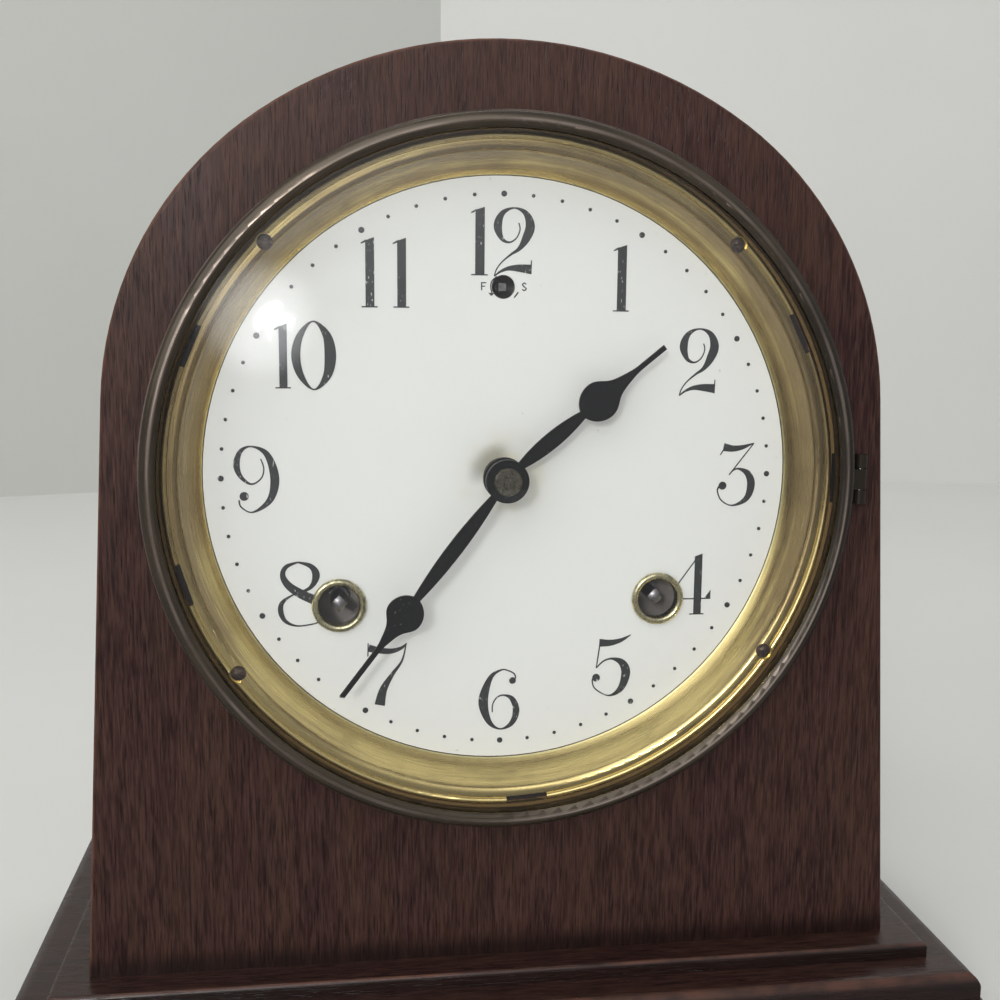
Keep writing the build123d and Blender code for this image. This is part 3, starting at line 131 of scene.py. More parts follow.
# The numerals' strokes: knots of (x, z, width) in mm from the dial's centre, drawn as smooth curves.
TWO_STROKES = (
    ((49.35, 32.1, 0.30), (49.65, 30.5, 0.30), (48.8, 28.5, 0.32), (47.1, 27.5, 0.45), (45.3, 28.4, 1.0),
     (44.35, 31.4, 2.0), (45.5, 34.4, 1.2), (48.3, 35.6, 0.4), (51.0, 34.4, 1.3), (52.1, 31.5, 2.2),
     (51.2, 28.6, 2.0), (49.6, 26.1, 1.0), (47.5, 24.6, 0.5), (45.4, 22.8, 0.32), (44.1, 21.0, 0.3),
     (43.6, 19.4, 0.3)),
    ((43.6, 19.4, 0.25), (45.0, 20.5, 0.55), (47.0, 21.3, 1.0), (49.5, 21.4, 1.7), (52.3, 21.15, 2.2)),
    ((52.5, 23.3, 0.25), (52.35, 20.0, 0.35)),
)
TWO_BOX = (43.4, 53.25, 19.35, 35.85)
TWELVE_BOX = (-2.4, 7.4, 47.5, 63.6)
THREE_STROKES = (
    ((55.3, 6.75, 2.0), (57.6, 6.35, 1.6), (60.1, 6.65, 1.1), (63.1, 7.7, 0.2)),
    ((55.3, 6.0, 0.35), (54.5, 4.75, 0.25)),
    ((63.0, 7.6, 0.3), (56.95, -0.25, 0.3)),
    ((57.0, -0.2, 0.3), (58.1, 1.0, 0.35), (59.6, 1.25, 0.6), (61.8, 0.0, 1.6), (62.7, -2.75, 2.0),
     (61.6, -6.2, 1.4), (58.1, -7.9, 0.4), (55.2, -6.6, 0.35), (54.1, -4.2, 0.35), (54.6, -3.0, 0.5)),
)
FOUR_STROKES = (
    ((45.5, -31.5, 0.3), (53.25, -31.5, 0.3)),
    ((48.95, -21.8, 0.3), (44.5, -28.0, 0.3)),
    ((47.9, -35.45, 0.3), (51.6, -35.45, 0.3)),
)
FOUR_PLATES = (
    ((48.9, -20.7), (50.85, -20.0), (50.85, -35.6), (48.9, -35.6)),
    ((53.25, -29.3), (53.2, -31.6), (51.7, -31.3)),
)
FIVE_STROKES = (
    ((24.95, -42.25, 2.0), (27.6, -42.35, 1.6), (30.4, -41.75, 1.0), (33.0, -40.4, 0.2)),
    ((25.25, -41.75, 0.35), (24.3, -48.75, 0.3)),
    ((24.3, -48.75, 0.3), (26.15, -47.0, 0.4), (28.4, -46.45, 0.6), (30.9, -47.6, 1.8), (31.9, -50.25, 2.3),
     (30.7, -54.2, 1.6), (27.65, -56.0, 0.4), (24.2, -54.2, 0.35), (23.35, -52.2, 0.35), (23.7, -51.2, 0.5)),
)
SIX_STROKES = (
    ((3.9, -50.8, 0.35), (3.55, -49.6, 0.35), (1.95, -48.7, 0.35), (0.3, -48.5, 0.4), (-2.4, -50.4, 1.2),
     (-4.2, -56.3, 2.4), (-2.8, -61.6, 1.4), (0.0, -63.7, 0.4), (2.9, -62.4, 1.2), (4.1, -59.2, 1.7),
     (3.2, -56.2, 1.3), (1.3, -55.05, 0.5), (-0.6, -55.4, 0.35), (-1.8, -57.2, 0.3), (-1.9, -59.3, 0.3)),
)
SEVEN_STROKES = (
    ((-32.4, -42.0, 1.8), (-30.0, -42.6, 1.6), (-27.0, -42.9, 1.3), (-24.5, -42.2, 0.8), (-23.1, -41.0, 0.25)),
    ((-32.5, -40.8, 0.3), (-32.6, -44.1, 0.3)),
    ((-23.3, -41.3, 0.3), (-24.3, -45.4, 0.5), (-26.7, -48.8, 1.0), (-28.9, -52.6, 1.9), (-29.8, -56.5, 2.55)),
)
EIGHT_STROKES = (
    ((-49.06, -20.35, 0.4), (-51.8, -21.4, 1.0), (-52.7, -23.5, 1.3), (-51.4, -26.0, 1.8), (-48.5, -28.1, 2.2),
     (-45.1, -29.8, 2.3)),
    ((-49.06, -20.35, 0.4), (-46.0, -21.4, 1.2), (-44.8, -23.7, 1.8), (-46.3, -26.7, 0.9), (-50.5, -28.4, 0.4),
     (-52.9, -30.2, 1.0), (-53.3, -32.4, 1.3), (-52.2, -34.8, 0.9), (-49.4, -36.0, 0.4), (-45.2, -35.5, 0.35),
     (-43.9, -34.7, 0.4)),
)
NINE_STROKES = (
    ((-57.3, 4.6, 0.3), (-56.6, 2.25, 0.3), (-57.3, -0.1, 0.32), (-59.6, -1.4, 0.45), (-62.0, 0.4, 1.0),
     (-62.9, 3.3, 1.5), (-61.9, 6.4, 1.0), (-59.3, 7.5, 0.4), (-55.8, 5.6, 1.4), (-54.1, 0.0, 2.1),
     (-55.3, -5.2, 1.5), (-59.3, -8.1, 0.4), (-62.0, -6.9, 0.35), (-62.5, -5.2, 0.4)),
)
ZERO_LOOP = ((-44.6, 36.7, 0.35), (-47.6, 33.6, 1.5), (-48.75, 28.8, 2.1), (-47.6, 24.0, 1.5),
             (-44.6, 20.85, 0.35), (-41.6, 24.0, 1.9), (-40.75, 28.8, 2.7), (-41.6, 33.6, 1.9))
# The upright ones of 12, 1, 10 and 11: left, right, top and bottom in mm.
ONES = ((-6.75, -4.55, 63.5, 47.7), (27.5, 29.7, 55.3, 39.6), (-52.6, -50.75, 36.1, 21.1),
        (-32.45, -30.4, 56.1, 40.0), (-25.05, -23.0, 56.1, 40.0))
# Their slanted top, flag and foot in mm. The flag starts at the top left corner, the foot at the lower corners.
ONE_SLANT_MM, HAIRLINE_MM = 0.75, 0.3
ONE_FLAG = ((0.3, -0.75, 0.5), (-1.0, -1.4, 0.3))
ONE_FOOT_LEFT_MM, ONE_FOOT_RIGHT_MM, ONE_FOOT_UP_MM = -0.95, 0.75, 0.15
# Round ends of 3, 5, 6 and 9: x, z and radius in mm.
BALLS = ((55.35, -2.9, 1.0), (24.3, -51.25, 1.0), (3.1, -51.3, 0.85), (-61.3, -4.3, 1.06))
DISC_SIDES = 20
REGULATOR_STROKES = (
    ((-5.2, 46.15, 0.3), (-5.2, 44.25, 0.3)),
    ((-5.2, 46.02, 0.27), (-4.1, 46.02, 0.27)),
    ((-5.2, 45.2, 0.25), (-4.35, 45.2, 0.25)),
    ((5.45, 45.75, 0.24), (5.0, 46.05, 0.27), (4.55, 45.7, 0.28), (4.95, 45.2, 0.32), (5.45, 44.75, 0.28),
     (5.0, 44.33, 0.27), (4.47, 44.6, 0.24)),
    ((-1.6, 47.5, 0.3), (-2.7, 46.5, 0.3), (-3.04, 45.15, 0.3), (-2.63, 43.26, 0.3)),
    ((3.57, 43.9, 0.34), (2.58, 42.6, 0.34)),
)
REGULATOR_PLATES = (((-3.6, 43.7), (-2.1, 43.6), (-2.9, 42.9)),)


class ClockFinish(bpy.types.PropertyGroup):
    """Colours of the clock's materials, and the index of its glass."""

    veneer_brown: colour_setting("Veneer brown", "Warm tone of the case's veneer", 49, 29, 22)
    veneer_plum: colour_setting("Veneer plum", "Cool tone of the case's veneer", 41, 22, 21)
    # The pore colour also paints the shadow at the front board's foot.
    veneer_pore: colour_setting("Veneer pores", "Dark of the veneer's open pores", 17, 8, 7)
    # This pale colour is also painted over the upper veneer as painted light.
    veneer_fleck: colour_setting("Veneer flecks", "Pale streaks between the pores", 82, 56, 49)
    # This bare-wood colour also serves as a painted highlight on the rounded edges.
    veneer_wear_and_highlight: colour_setting("Worn arris", "Bare wood on the rounded edges", 118, 76, 58)
    back_wood: colour_setting("Back board", "Stained softwood of the back", 104, 74, 52)
    back_tin: colour_setting("Back door", "Dull plate of the back door", 126, 116, 98)
    dial_white: colour_setting("Dial", "Baked white paint of the dial", 226, 228, 225)
    dial_smudge: colour_setting("Dial smudge", "Grey mark beside the hands' centre", 120, 120, 108)
    dial_stain: colour_setting("Dial stain", "Oil stain round the hands' hub", 208, 200, 162)
    ring_brass: colour_setting("Ring brass", "Polished brass of the dial's ring", 222, 202, 138)
    # This bright edge is a painted highlight.
    ring_lip: colour_setting("Ring lip", "Bright edge of the ring against the dial", 242, 234, 176)
    # This tarnish is also painted as shade on the ring's sides and top.
    ring_tarnish: colour_setting("Ring tarnish", "Brown tarnish on the ring and the retainer", 140, 120, 84)
    rim_brown: colour_setting("Rim", "Dark oxidised brass of the door's rim", 78, 69, 58)
    # This colour also paints the rim's highlights.
    rim_wear_and_highlight: colour_setting("Rim wear", "Brass rubbed clean on the rim", 176, 160, 150)
    ink: colour_setting("Ink", "Printed numerals and dots", 42, 46, 46)
    hand_black: colour_setting("Hands", "Blackened steel of the hands", 13, 15, 15)
    steel: colour_setting("Steel", "Bare steel of arbors and screws", 168, 166, 160)
    eyelet_pale: colour_setting("Eyelets", "Pale brass of the winding eyelets", 198, 192, 156)
    old_steel: colour_setting("Old steel", "Oxidised steel of the winding and regulator arbors", 150, 148, 150)
    nut_olive: colour_setting("Hands' nut", "Grimy steel of the nut that holds the hands", 90, 86, 74)
    # This brass colour is also painted on the board under the rim as a painted reflection.
    old_brass: colour_setting("Old brass", "Oxidised brass of the plates and round the ring", 138, 112, 70)
    # At the ring's foot this colour paints the shade in the gap against the dial.
    screw_brown: colour_setting("Ring screws", "Browned heads of the ring's screws and dirt at its foot", 86, 70, 60)
    blue_steel: colour_setting("Spring steel", "Blued steel of springs and gong", 92, 98, 116)
    iron: colour_setting("Cast iron", "Painted iron of the gong's stand", 58, 54, 50)
    front_plate: colour_setting("Front plate", "Dull steel of the movement's front plate", 176, 168, 164)
    train_brass: colour_setting("Movement brass", "Wheels of the movement", 206, 172, 98)
    glass_index: bpy.props.FloatProperty(
        name="Glass index", description="Refractive index of the door's glass", min=1, max=2, default=1.5)


class ClockDial(bpy.types.PropertyGroup):
    """Sizes of the marks on the dial."""

    dot_ring: bpy.props.FloatProperty(
        name="Dot ring", description="Radius of the ring of minute dots", unit="LENGTH", default=66.6 * MM)
    hour_dot: bpy.props.FloatProperty(
        name="Hour dot", description="Radius of a dot at a whole hour", unit="LENGTH", default=0.7 * MM)
    minute_dot: bpy.props.FloatProperty(
        name="Minute dot", description="Radius of a dot between the hours", unit="LENGTH", default=0.44 * MM)
    ink_height: bpy.props.FloatProperty(
        name="Ink height", description="How far the print stands off the dial", unit="LENGTH", default=0.04 * MM)
    layer_step: bpy.props.FloatProperty(
        name="Layer step", description="Height between crossing strokes", unit="LENGTH", default=0.002 * MM)
    curve_steps: bpy.props.IntProperty(
        name="Curve steps", description="Pieces between two knots of a stroke", min=1, max=32, default=7)


class ClockStage(bpy.types.PropertyGroup):
    """Camera, lights and backdrop."""

    glow_light: bpy.props.FloatProperty(
        name="Glow", description="Extra light round the window, which the glass mirrors", min=0, max=10, default=4.0)
    lens: bpy.props.FloatProperty(
        name="Lens", description="Focal length on a 36 mm sensor", unit="CAMERA", min=10, max=200, default=43.17)
    room_light: bpy.props.FloatProperty(
        name="Room light", description="Strength of the room's light at the floor", min=0, max=5, default=0.3)
    ceiling_light: bpy.props.FloatProperty(
        name="Ceiling light", description="Strength of the room's light overhead", min=0, max=5, default=0.55)
    veil_light: bpy.props.FloatProperty(
        name="Veil", description="Extra light high on the left, which the glass mirrors", min=0, max=5, default=0.2)
    softbox_power: bpy.props.FloatProperty(
        name="Softbox", description="Power of the large lamp overhead in front", unit="POWER", default=17.6)
    key_power: bpy.props.FloatProperty(
        name="Key", description="Power of the smaller lamp that casts the hands' shadows", unit="POWER", default=4.7)
    window_power: bpy.props.FloatProperty(
        name="Window", description="Power shared by the small lamps that the glass mirrors", unit="POWER", default=0.3)
    wall_power: bpy.props.FloatProperty(
        name="Wall wash", description="Power of the lamp on the walls", unit="POWER", default=3.6)
    wall_pale: colour_setting("Pale wall", "Wall at the right and floor", 221, 221, 217)
    wall_shade: colour_setting("Shaded wall", "Wall at the left", 197, 198, 193)


class Finish:
    """A node material that is being put together."""

    def __init__(self, name):
        self.open(bpy.data.materials.new(name), "ShaderNodeOutputMaterial")
        here = self.add("ShaderNodeTexCoord")
        self.place, self.normal = here.outputs["Object"], here.outputs["Normal"]

    def open(self, holder, output):
        """Starts on the empty node tree of a new material or world."""
        self.material = holder
        holder.use_nodes = True
        self.tree = holder.node_tree
        self.tree.nodes.clear()
        self.output = self.add(output)

    def add(self, kind, **settings):
        """A new node of that kind with its settings."""
        node = self.tree.nodes.new(kind)
        for key, value in settings.items():
            setattr(node, key, value)
        return node

    def feed(self, socket, value):
        """Links another socket to this one, or sets a plain value on it."""
        if isinstance(value, bpy.types.NodeSocket):
            self.tree.links.new(value, socket)
        elif socket.type == "RGBA":
            socket.default_value = (*value, 1)
        else:
            socket.default_value = value

    def math(self, operation, first, second=0.0):
        node = self.add("ShaderNodeMath", operation=operation)
        self.feed(node.inputs[0], first)
        self.feed(node.inputs[1], second)
        return node.outputs[0]

    def split(self, vector):
        node = self.add("ShaderNodeSeparateXYZ")
        self.feed(node.inputs[0], vector)
        return node.outputs["X"], node.outputs["Y"], node.outputs["Z"]

    def join(self, x, y, z):
        node = self.add("ShaderNodeCombineXYZ")
        for socket, value in zip(node.inputs, (x, y, z)):
            self.feed(socket, value)
        return node.outputs[0]

    def stretch(self, vector, shares):
        """A vector with each part multiplied by its share."""
        node = self.add("ShaderNodeVectorMath", operation="MULTIPLY")
        self.feed(node.inputs[0], vector)
        self.feed(node.inputs[1], shares)
        return node.outputs[0]

    def noise(self, vector, scale, detail):
        """Noise of 0 to 1 with features of about 1 / scale metres."""
        node = self.add("ShaderNodeTexNoise")
        self.feed(node.inputs["Vector"], vector)
        self.feed(node.inputs["Scale"], scale)
        self.feed(node.inputs["Detail"], detail)
        self.feed(node.inputs["Roughness"], NOISE_ROUGHNESS)
        return node.outputs[0]

    def remap(self, value, low, high, start=0.0, end=1.0):
        """A smooth step of value from low to high, as start to end."""
        node = self.add("ShaderNodeMapRange", interpolation_type="SMOOTHSTEP")
        for socket, given in zip(node.inputs, (value, low, high, start, end)):
            self.feed(socket, given)
        return node.outputs[0]

    def mix(self, share, first, second):
        node = self.add("ShaderNodeMix", data_type="RGBA")
        self.feed(node.inputs[0], share)
        self.feed(node.inputs[6], first)
        self.feed(node.inputs[7], second)
        return node.outputs[2]

    def bump(self, height, depth):
        """A normal from a height of 0 to 1 that stands for depth in metres."""
        node = self.add("ShaderNodeBump")
        self.feed(node.inputs["Strength"], 1.0)
        self.feed(node.inputs["Distance"], depth)
        self.feed(node.inputs["Height"], height)
        return node.outputs[0]

    def round_axis(self, centre):
        """Distance from an axis along Y through centre, and the direction from it as a pair of shares."""
        x, y, z = self.split(self.place)
        across, up = self.math("SUBTRACT", x, centre.x), self.math("SUBTRACT", z, centre.z)
        away = self.math("SQRT", self.math("ADD", self.math("MULTIPLY", across, across),
                                           self.math("MULTIPLY", up, up)))
        return away, (self.math("DIVIDE", across, away), self.math("DIVIDE", up, away)), y

    def surface(self, **sockets):
        """Closes the material with one Principled shader."""
        shader = self.add("ShaderNodeBsdfPrincipled")
        for key, value in sockets.items():
            self.feed(shader.inputs[key.replace("_", " ")], value)
        self.feed(self.output.inputs["Surface"], shader.outputs[0])
        return self.material


def paint(material, *names):
    """Gives CAD nodes a material."""
    for name in names:
        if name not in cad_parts:
            raise RuntimeError(f"the frame has no node {name}")
        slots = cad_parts[name].data.materials
        slots.clear()
        slots.append(material)


def dial_centre():
    """The middle of the dial's face, which every mark is drawn from."""
    low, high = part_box("sight_ring")
    return Vector(((low.x + high.x) / 2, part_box("dial_plate")[0].y, (low.z + high.z) / 2))


def between(made, value, low, high, soft):
    """1 where the value lies from low to high, with soft ends."""
    return made.math("MULTIPLY", made.remap(value, low - soft, low + soft), made.remap(value, high + soft, high - soft))


def wood(name, colours, run, wear_and_highlight_share, gloss, shine, depth_share):
    """Dark pored veneer. run turns the place into one whose third part follows the grain. depth_share darkens it."""
    made = Finish(name)
    along = run(made)
    broad = made.noise(made.stretch(along, (1, 1, 0.1)), 160, 3)
    streak = made.noise(made.stretch(along, (1, 1, 0.07)), 2200, 3)
    pores = made.noise(made.stretch(along, (1, 1, 0.05)), 3000, 2)
    flecks = made.noise(made.stretch(along, (1, 1, 0.06)), 2600, 1)
    level = made.split(made.place)[2]
    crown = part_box("front_board")[1].z
    # Painted light: the veneer is painted paler towards the crown, standing in for the brighter light on the upper
    # part.
    painted_top_light = made.remap(level, *(crown - depth for depth in LIT_TOP_DEPTHS), 0.0, 0.16)
    patches = made.noise(made.stretch(along, (1, 1, 0.3)), 210, 4)
    banded = made.mix(made.remap(broad, 0.36, 0.64), colours.veneer_plum, colours.veneer_brown)
    dyed = made.mix(made.remap(patches, 0.42, 0.62, 0.0, 0.45), banded, colours.veneer_pore)
    ground = made.mix(painted_top_light, dyed, colours.veneer_fleck)
    lit = made.mix(made.remap(streak, 0.3, 0.72, 0.0, 0.55), ground, colours.veneer_fleck)
    pale = made.mix(made.remap(flecks, 0.6, 0.75, 0.0, 0.4), lit, colours.veneer_fleck)
    open_pores = made.remap(pores, 0.45, 0.33, 0.0, 0.62)
    pored = made.mix(open_pores, pale, colours.veneer_pore)
    away = made.round_axis(dial_centre())[0]
    # Painted reflection: the board under the rim is painted in old brass, so the gap there, which lies in shade, looks
    # like lit brass.
    painted_gleam = made.mix(between(made, away, *BOARD_PAINTED_GLEAM, 0.1 * MM), pored, colours.old_brass)
    under = made.math("MAXIMUM", made.remap(away, *BOARD_SHADE, 0.0, 0.9), depth_share)
    grained = made.mix(under, painted_gleam, colours.veneer_pore)
    front = made.math("ABSOLUTE", made.split(made.normal)[1])
    arris = made.math("MULTIPLY", made.remap(front, 0.25, 0.6), made.remap(front, 0.97, 0.8))
    # Rounded arrises painted paler with bare wood: partly real wear, partly a painted highlight along the edges.
    rubbed = made.math("MULTIPLY", arris, made.remap(made.noise(made.place, 90, 4), 0.35, 0.65, 0.15, wear_and_highlight_share))
    relief = made.math("SUBTRACT", made.math("MULTIPLY", streak, 0.4), open_pores)
    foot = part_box("front_board")[0].z
    # Painted shadow: faces turned to the front or back darken from a few mm above the front board's foot down to it,
    # and on the base below it all over.
    near_foot = made.remap(level, *(foot + height for height in FOOT_SHADOW_HEIGHTS))
    painted_foot_shadow = made.math("MULTIPLY", made.math("MULTIPLY", near_foot, front), made.remap(broad, 0.3, 0.7, 0.55, 0.85))
    return made.surface(
        Base_Color=made.mix(painted_foot_shadow, made.mix(rubbed, grained, colours.veneer_wear_and_highlight), colours.veneer_pore),
        Roughness=made.remap(broad, 0.3, 0.7, gloss, gloss + 0.12),
        Specular_IOR_Level=shine,
        Normal=made.bump(relief, 0.05 * MM))


def upright_grain(made):
    """Grain that runs up the piece."""
    return made.place


def arch_grain(made):
    """Grain that follows the bent shell up one side, over the arch and down the other."""
    low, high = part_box("case_shell")
    reach = (high.x - low.x) / 2
    spring = high.z - reach
    x, y, z = made.split(made.place)
    above = made.math("SUBTRACT", z, spring)
    up = made.math("MAXIMUM", above, 0.0)
    away = made.math("SQRT", made.math("ADD", made.math("MULTIPLY", x, x), made.math("MULTIPLY", up, up)))
    turned = made.math("MULTIPLY", made.math("ARCTAN2", up, x), reach)
    below = made.math("MULTIPLY", made.math("SIGN", x), made.math("MINIMUM", above, 0.0))
    return made.join(away, y, made.math("ADD", turned, below))


def level_grain(made):
    """Grain that runs along each face of the base, with mitred corners."""
    x, y, z = made.split(made.place)
    side = made.math("GREATER_THAN", made.math("ABSOLUTE", made.split(made.normal)[0]), 0.7)
    return made.mix(side, made.join(y, z, x), made.join(x, z, y))


class CLOCK_OT_case(bpy.types.Operator):
    """Veneers the case and its base"""

    bl_idname = "clock.case"
    bl_label = "Case and base"

    def execute(self, context):
        colours = context.scene.clock_finish
        paint(wood("front_veneer", colours, upright_grain, wear_and_highlight_share=0.5, gloss=0.34, shine=0.2, depth_share=0.0),
              "front_board")
        paint(wood("shell_veneer", colours, arch_grain, wear_and_highlight_share=0.5, gloss=0.34, shine=0.2, depth_share=0.0),
              "case_shell")
        paint(wood("base_veneer", colours, level_grain, wear_and_highlight_share=0.8, gloss=0.22, shine=0.38, depth_share=0.2),
              "base_cap", "base_moulding", "base_plinth")
        return {"FINISHED"}


class CLOCK_OT_back(bpy.types.Operator):
    """Stains the back board and dulls the back door"""

    bl_idname = "clock.back"
    bl_label = "Back"

    def execute(self, context):
        colours = context.scene.clock_finish
        board = Finish("back_softwood")
        rings = board.noise(board.stretch(board.place, (1, 1, 0.05)), 260, 4)
        fibres = board.noise(board.stretch(board.place, (1, 1, 0.03)), 1800, 2)
        dark = dimmed(colours.back_wood, 0.45)
        stained = board.mix(board.remap(rings, 0.35, 0.7), colours.back_wood, dark)
        paint(board.surface(
            Base_Color=board.mix(board.remap(fibres, 0.35, 0.7, 0.0, 0.4), stained, dark),
            Roughness=board.remap(fibres, 0.3, 0.7, 0.55, 0.75),
            Normal=board.bump(fibres, 0.05 * MM)), "back_board")
        tin = Finish("back_tin")
        cloud = tin.noise(tin.place, 45, 5)
        lines = tin.noise(tin.stretch(tin.place, (1, 1, 0.02)), 2600, 1)
        paint(tin.surface(
            Base_Color=tin.mix(tin.remap(cloud, 0.4, 0.7, 0.0, 0.6), colours.back_tin,
                               dimmed(colours.back_tin, 0.4)),
            Metallic=1.0,
            Roughness=tin.remap(cloud, 0.3, 0.7, 0.34, 0.55),
            Normal=tin.bump(lines, 0.01 * MM)), "back_door", "back_leaf")
        return {"FINISHED"}


class CLOCK_OT_dial(bpy.types.Operator):
    """Paints the dial plate"""

    bl_idname = "clock.dial"
    bl_label = "Dial plate"

    def execute(self, context):
        colours = context.scene.clock_finish
        made = Finish("dial_paint")
        away, (across, up), _ = made.round_axis(dial_centre())
        cloud = made.noise(made.place, 140, 4)
        upper_left = made.remap(made.math("SUBTRACT", up, across), 0.4, 1.3)
        smudge = made.math("MULTIPLY", made.remap(away, *HUB_SMUDGE, 0.0, 0.6), upper_left)
        near_hub = made.math("MULTIPLY", made.remap(away, *HUB_STAIN), made.remap(cloud, 0.35, 0.7, 0.1, 0.8))
        specks = made.remap(made.noise(made.place, 700, 1), 0.76, 0.8, 0.0, 0.35)
        stained = made.mix(near_hub, colours.dial_white, colours.dial_stain)
        aged = made.mix(smudge, stained, colours.dial_smudge)
        paint(made.surface(
            Base_Color=made.mix(specks, aged, dimmed(colours.dial_stain, 0.5)),
            Roughness=made.remap(cloud, 0.3, 0.7, 0.3, 0.4),
            Normal=made.bump(made.noise(made.place, 900, 2), 0.01 * MM)), "dial_plate")
        return {"FINISHED"}


def smooth_line(knots, steps, closed=False):
    """Points through the knots on a smooth curve, with their widths."""
    if len(knots) == 2:
        return [Vector(k) for k in knots]
    line = [Vector(k) for k in knots]
    count = len(line)

    def knot(index):
        return line[index % count] if closed else line[min(max(index, 0), count - 1)]

    points = []
    for index in range(count if closed else count - 1):
        before, start, end, after = (knot(index + offset) for offset in (-1, 0, 1, 2))
        for step in range(steps):
            t = step / steps
            points.append(0.5 * (2 * start + (end - before) * t + (2 * before - 5 * start + 4 * end - after) * t ** 2
                                 + (3 * start - before - 3 * end + after) * t ** 3))
    if not closed:
        points.append(line[-1])
    return points


class Print:
    """Flat marks that stand a little off the dial's face, gathered into one mesh."""

    def __init__(self, sizes):
        self.bm = bmesh.new()
        self.centre = dial_centre()
        self.sizes = sizes
        self.height = sizes.ink_height

    def lift(self):
        """Raises the next mark, so that marks that cross don't share a face."""
        self.height += self.sizes.layer_step

    def corner(self, x_mm, z_mm, raised):
        place = Vector((x_mm * MM, -self.height if raised else 0.0, z_mm * MM))
        return self.bm.verts.new(self.centre + place)

    def plate(self, outline):
        """A filled polygon, given in mm."""
        top = [self.corner(x, z, True) for x, z in outline]
        low = [self.corner(x, z, False) for x, z in outline]
        self.bm.faces.new(top)
        self.bm.faces.new(low[::-1])
        for index in range(len(top)):
            after = (index + 1) % len(top)
            self.bm.faces.new((top[index], low[index], low[after], top[after]))
        self.lift()

    def disc(self, x_mm, z_mm, radius_mm):
        turns = (2 * math.pi * index / DISC_SIDES for index in range(DISC_SIDES))
        self.plate([(x_mm + radius_mm * math.cos(turn), z_mm + radius_mm * math.sin(turn)) for turn in turns])

    def stroke(self, knots, closed=False):
        """A ribbon along knots of (x, z, width) in mm."""
        points = smooth_line(knots, self.sizes.curve_steps, closed)
        count = len(points)
        rungs = []
        for index, point in enumerate(points):
            before = points[index - 1] if index or closed else point
            after = points[(index + 1) % count] if index + 1 < count or closed else point
            run = Vector((after.x - before.x, after.y - before.y)).normalized()
            half = Vector((-run.y, run.x)) * (point.z / 2)
            left, right = Vector((point.x, point.y)) + half, Vector((point.x, point.y)) - half
            rungs.append([self.corner(*left, True), self.corner(*right, True),
                          self.corner(*right, False), self.corner(*left, False)])
        for index in range(count if closed else count - 1):
            here, there = rungs[index], rungs[(index + 1) % count]
            for side in range(4):
                after = (side + 1) % 4
                self.bm.faces.new((here[side], here[after], there[after], there[side]))
        if not closed:
            self.bm.faces.new(rungs[0][::-1])
            self.bm.faces.new(rungs[-1])
        self.lift()

    def one(self, left, right, top, bottom):
        """An upright one with its flag and foot."""
        self.plate(((left, top - ONE_SLANT_MM), (right, top), (right, bottom), (left, bottom)))
        self.stroke([(left + x, top + z, width) for x, z, width in ONE_FLAG])
        foot = bottom + ONE_FOOT_UP_MM
        self.stroke(((left + ONE_FOOT_LEFT_MM, foot, HAIRLINE_MM), (right + ONE_FOOT_RIGHT_MM, foot, HAIRLINE_MM)))

    def close(self, name, material):
        """The finished piece, which rides on the case with the dial."""
        bmesh.ops.recalc_face_normals(self.bm, faces=self.bm.faces)
        mesh = bpy.data.meshes.new(name)
        self.bm.to_mesh(mesh)
        self.bm.free()
        mesh.materials.append(material)
        piece = bpy.data.objects.new(name, mesh)
        bpy.context.scene.collection.objects.link(piece)
        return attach(piece, "case")


def moved(strokes, old, new):
    """Strokes carried from one box of left, right, bottom and top to another."""
    wide, tall = (new[1] - new[0]) / (old[1] - old[0]), (new[3] - new[2]) / (old[3] - old[2])
    return [[(new[0] + (x - old[0]) * wide, new[2] + (z - old[2]) * tall, width) for x, z, width in knots]
            for knots in strokes]


class CLOCK_OT_marks(bpy.types.Operator):
    """Prints the numerals, the dots and the regulator's marks on the dial"""

    bl_idname = "clock.marks"
    bl_label = "Dial marks"

    def execute(self, context):
        colours, sizes = context.scene.clock_finish, context.scene.clock_dial
        made = Finish("dial_ink")
        flakes = made.noise(made.stretch(made.place, (1, 1, 0.35)), 2400, 2)
        patches = made.noise(made.place, 170, 2)
        worn = made.math("MULTIPLY", made.remap(flakes, 0.62, 0.7), made.remap(patches, 0.4, 0.6))
        ink = made.surface(
            Base_Color=made.mix(made.math("MULTIPLY", worn, 0.6), colours.ink, colours.dial_white),
            Roughness=made.remap(flakes, 0.3, 0.7, 0.4, 0.55))
        numerals = Print(sizes)
        for strokes in (TWO_STROKES, moved(TWO_STROKES, TWO_BOX, TWELVE_BOX), THREE_STROKES, FOUR_STROKES,
                        FIVE_STROKES, SIX_STROKES, SEVEN_STROKES, EIGHT_STROKES, NINE_STROKES):
            for knots in strokes:
                numerals.stroke(knots)
        for outline in FOUR_PLATES:
            numerals.plate(outline)
        for ends in ONES:
            numerals.one(*ends)
        for ball in BALLS:
            numerals.disc(*ball)
        numerals.stroke(ZERO_LOOP, closed=True)
        numerals.close("numerals", ink)
        dots = Print(sizes)
        for minute in range(60):
            turn = math.radians(6 * minute)
            radius = sizes.minute_dot if minute % 5 else sizes.hour_dot
            dots.disc(sizes.dot_ring * math.sin(turn) / MM, sizes.dot_ring * math.cos(turn) / MM, radius / MM)
        dots.close("minute_dots", ink)
        regulator = Print(sizes)
        for knots in REGULATOR_STROKES:
            regulator.stroke(knots)
        for outline in REGULATOR_PLATES:
            regulator.plate(outline)
        regulator.close("regulator_marks", ink)
        return {"FINISHED"}


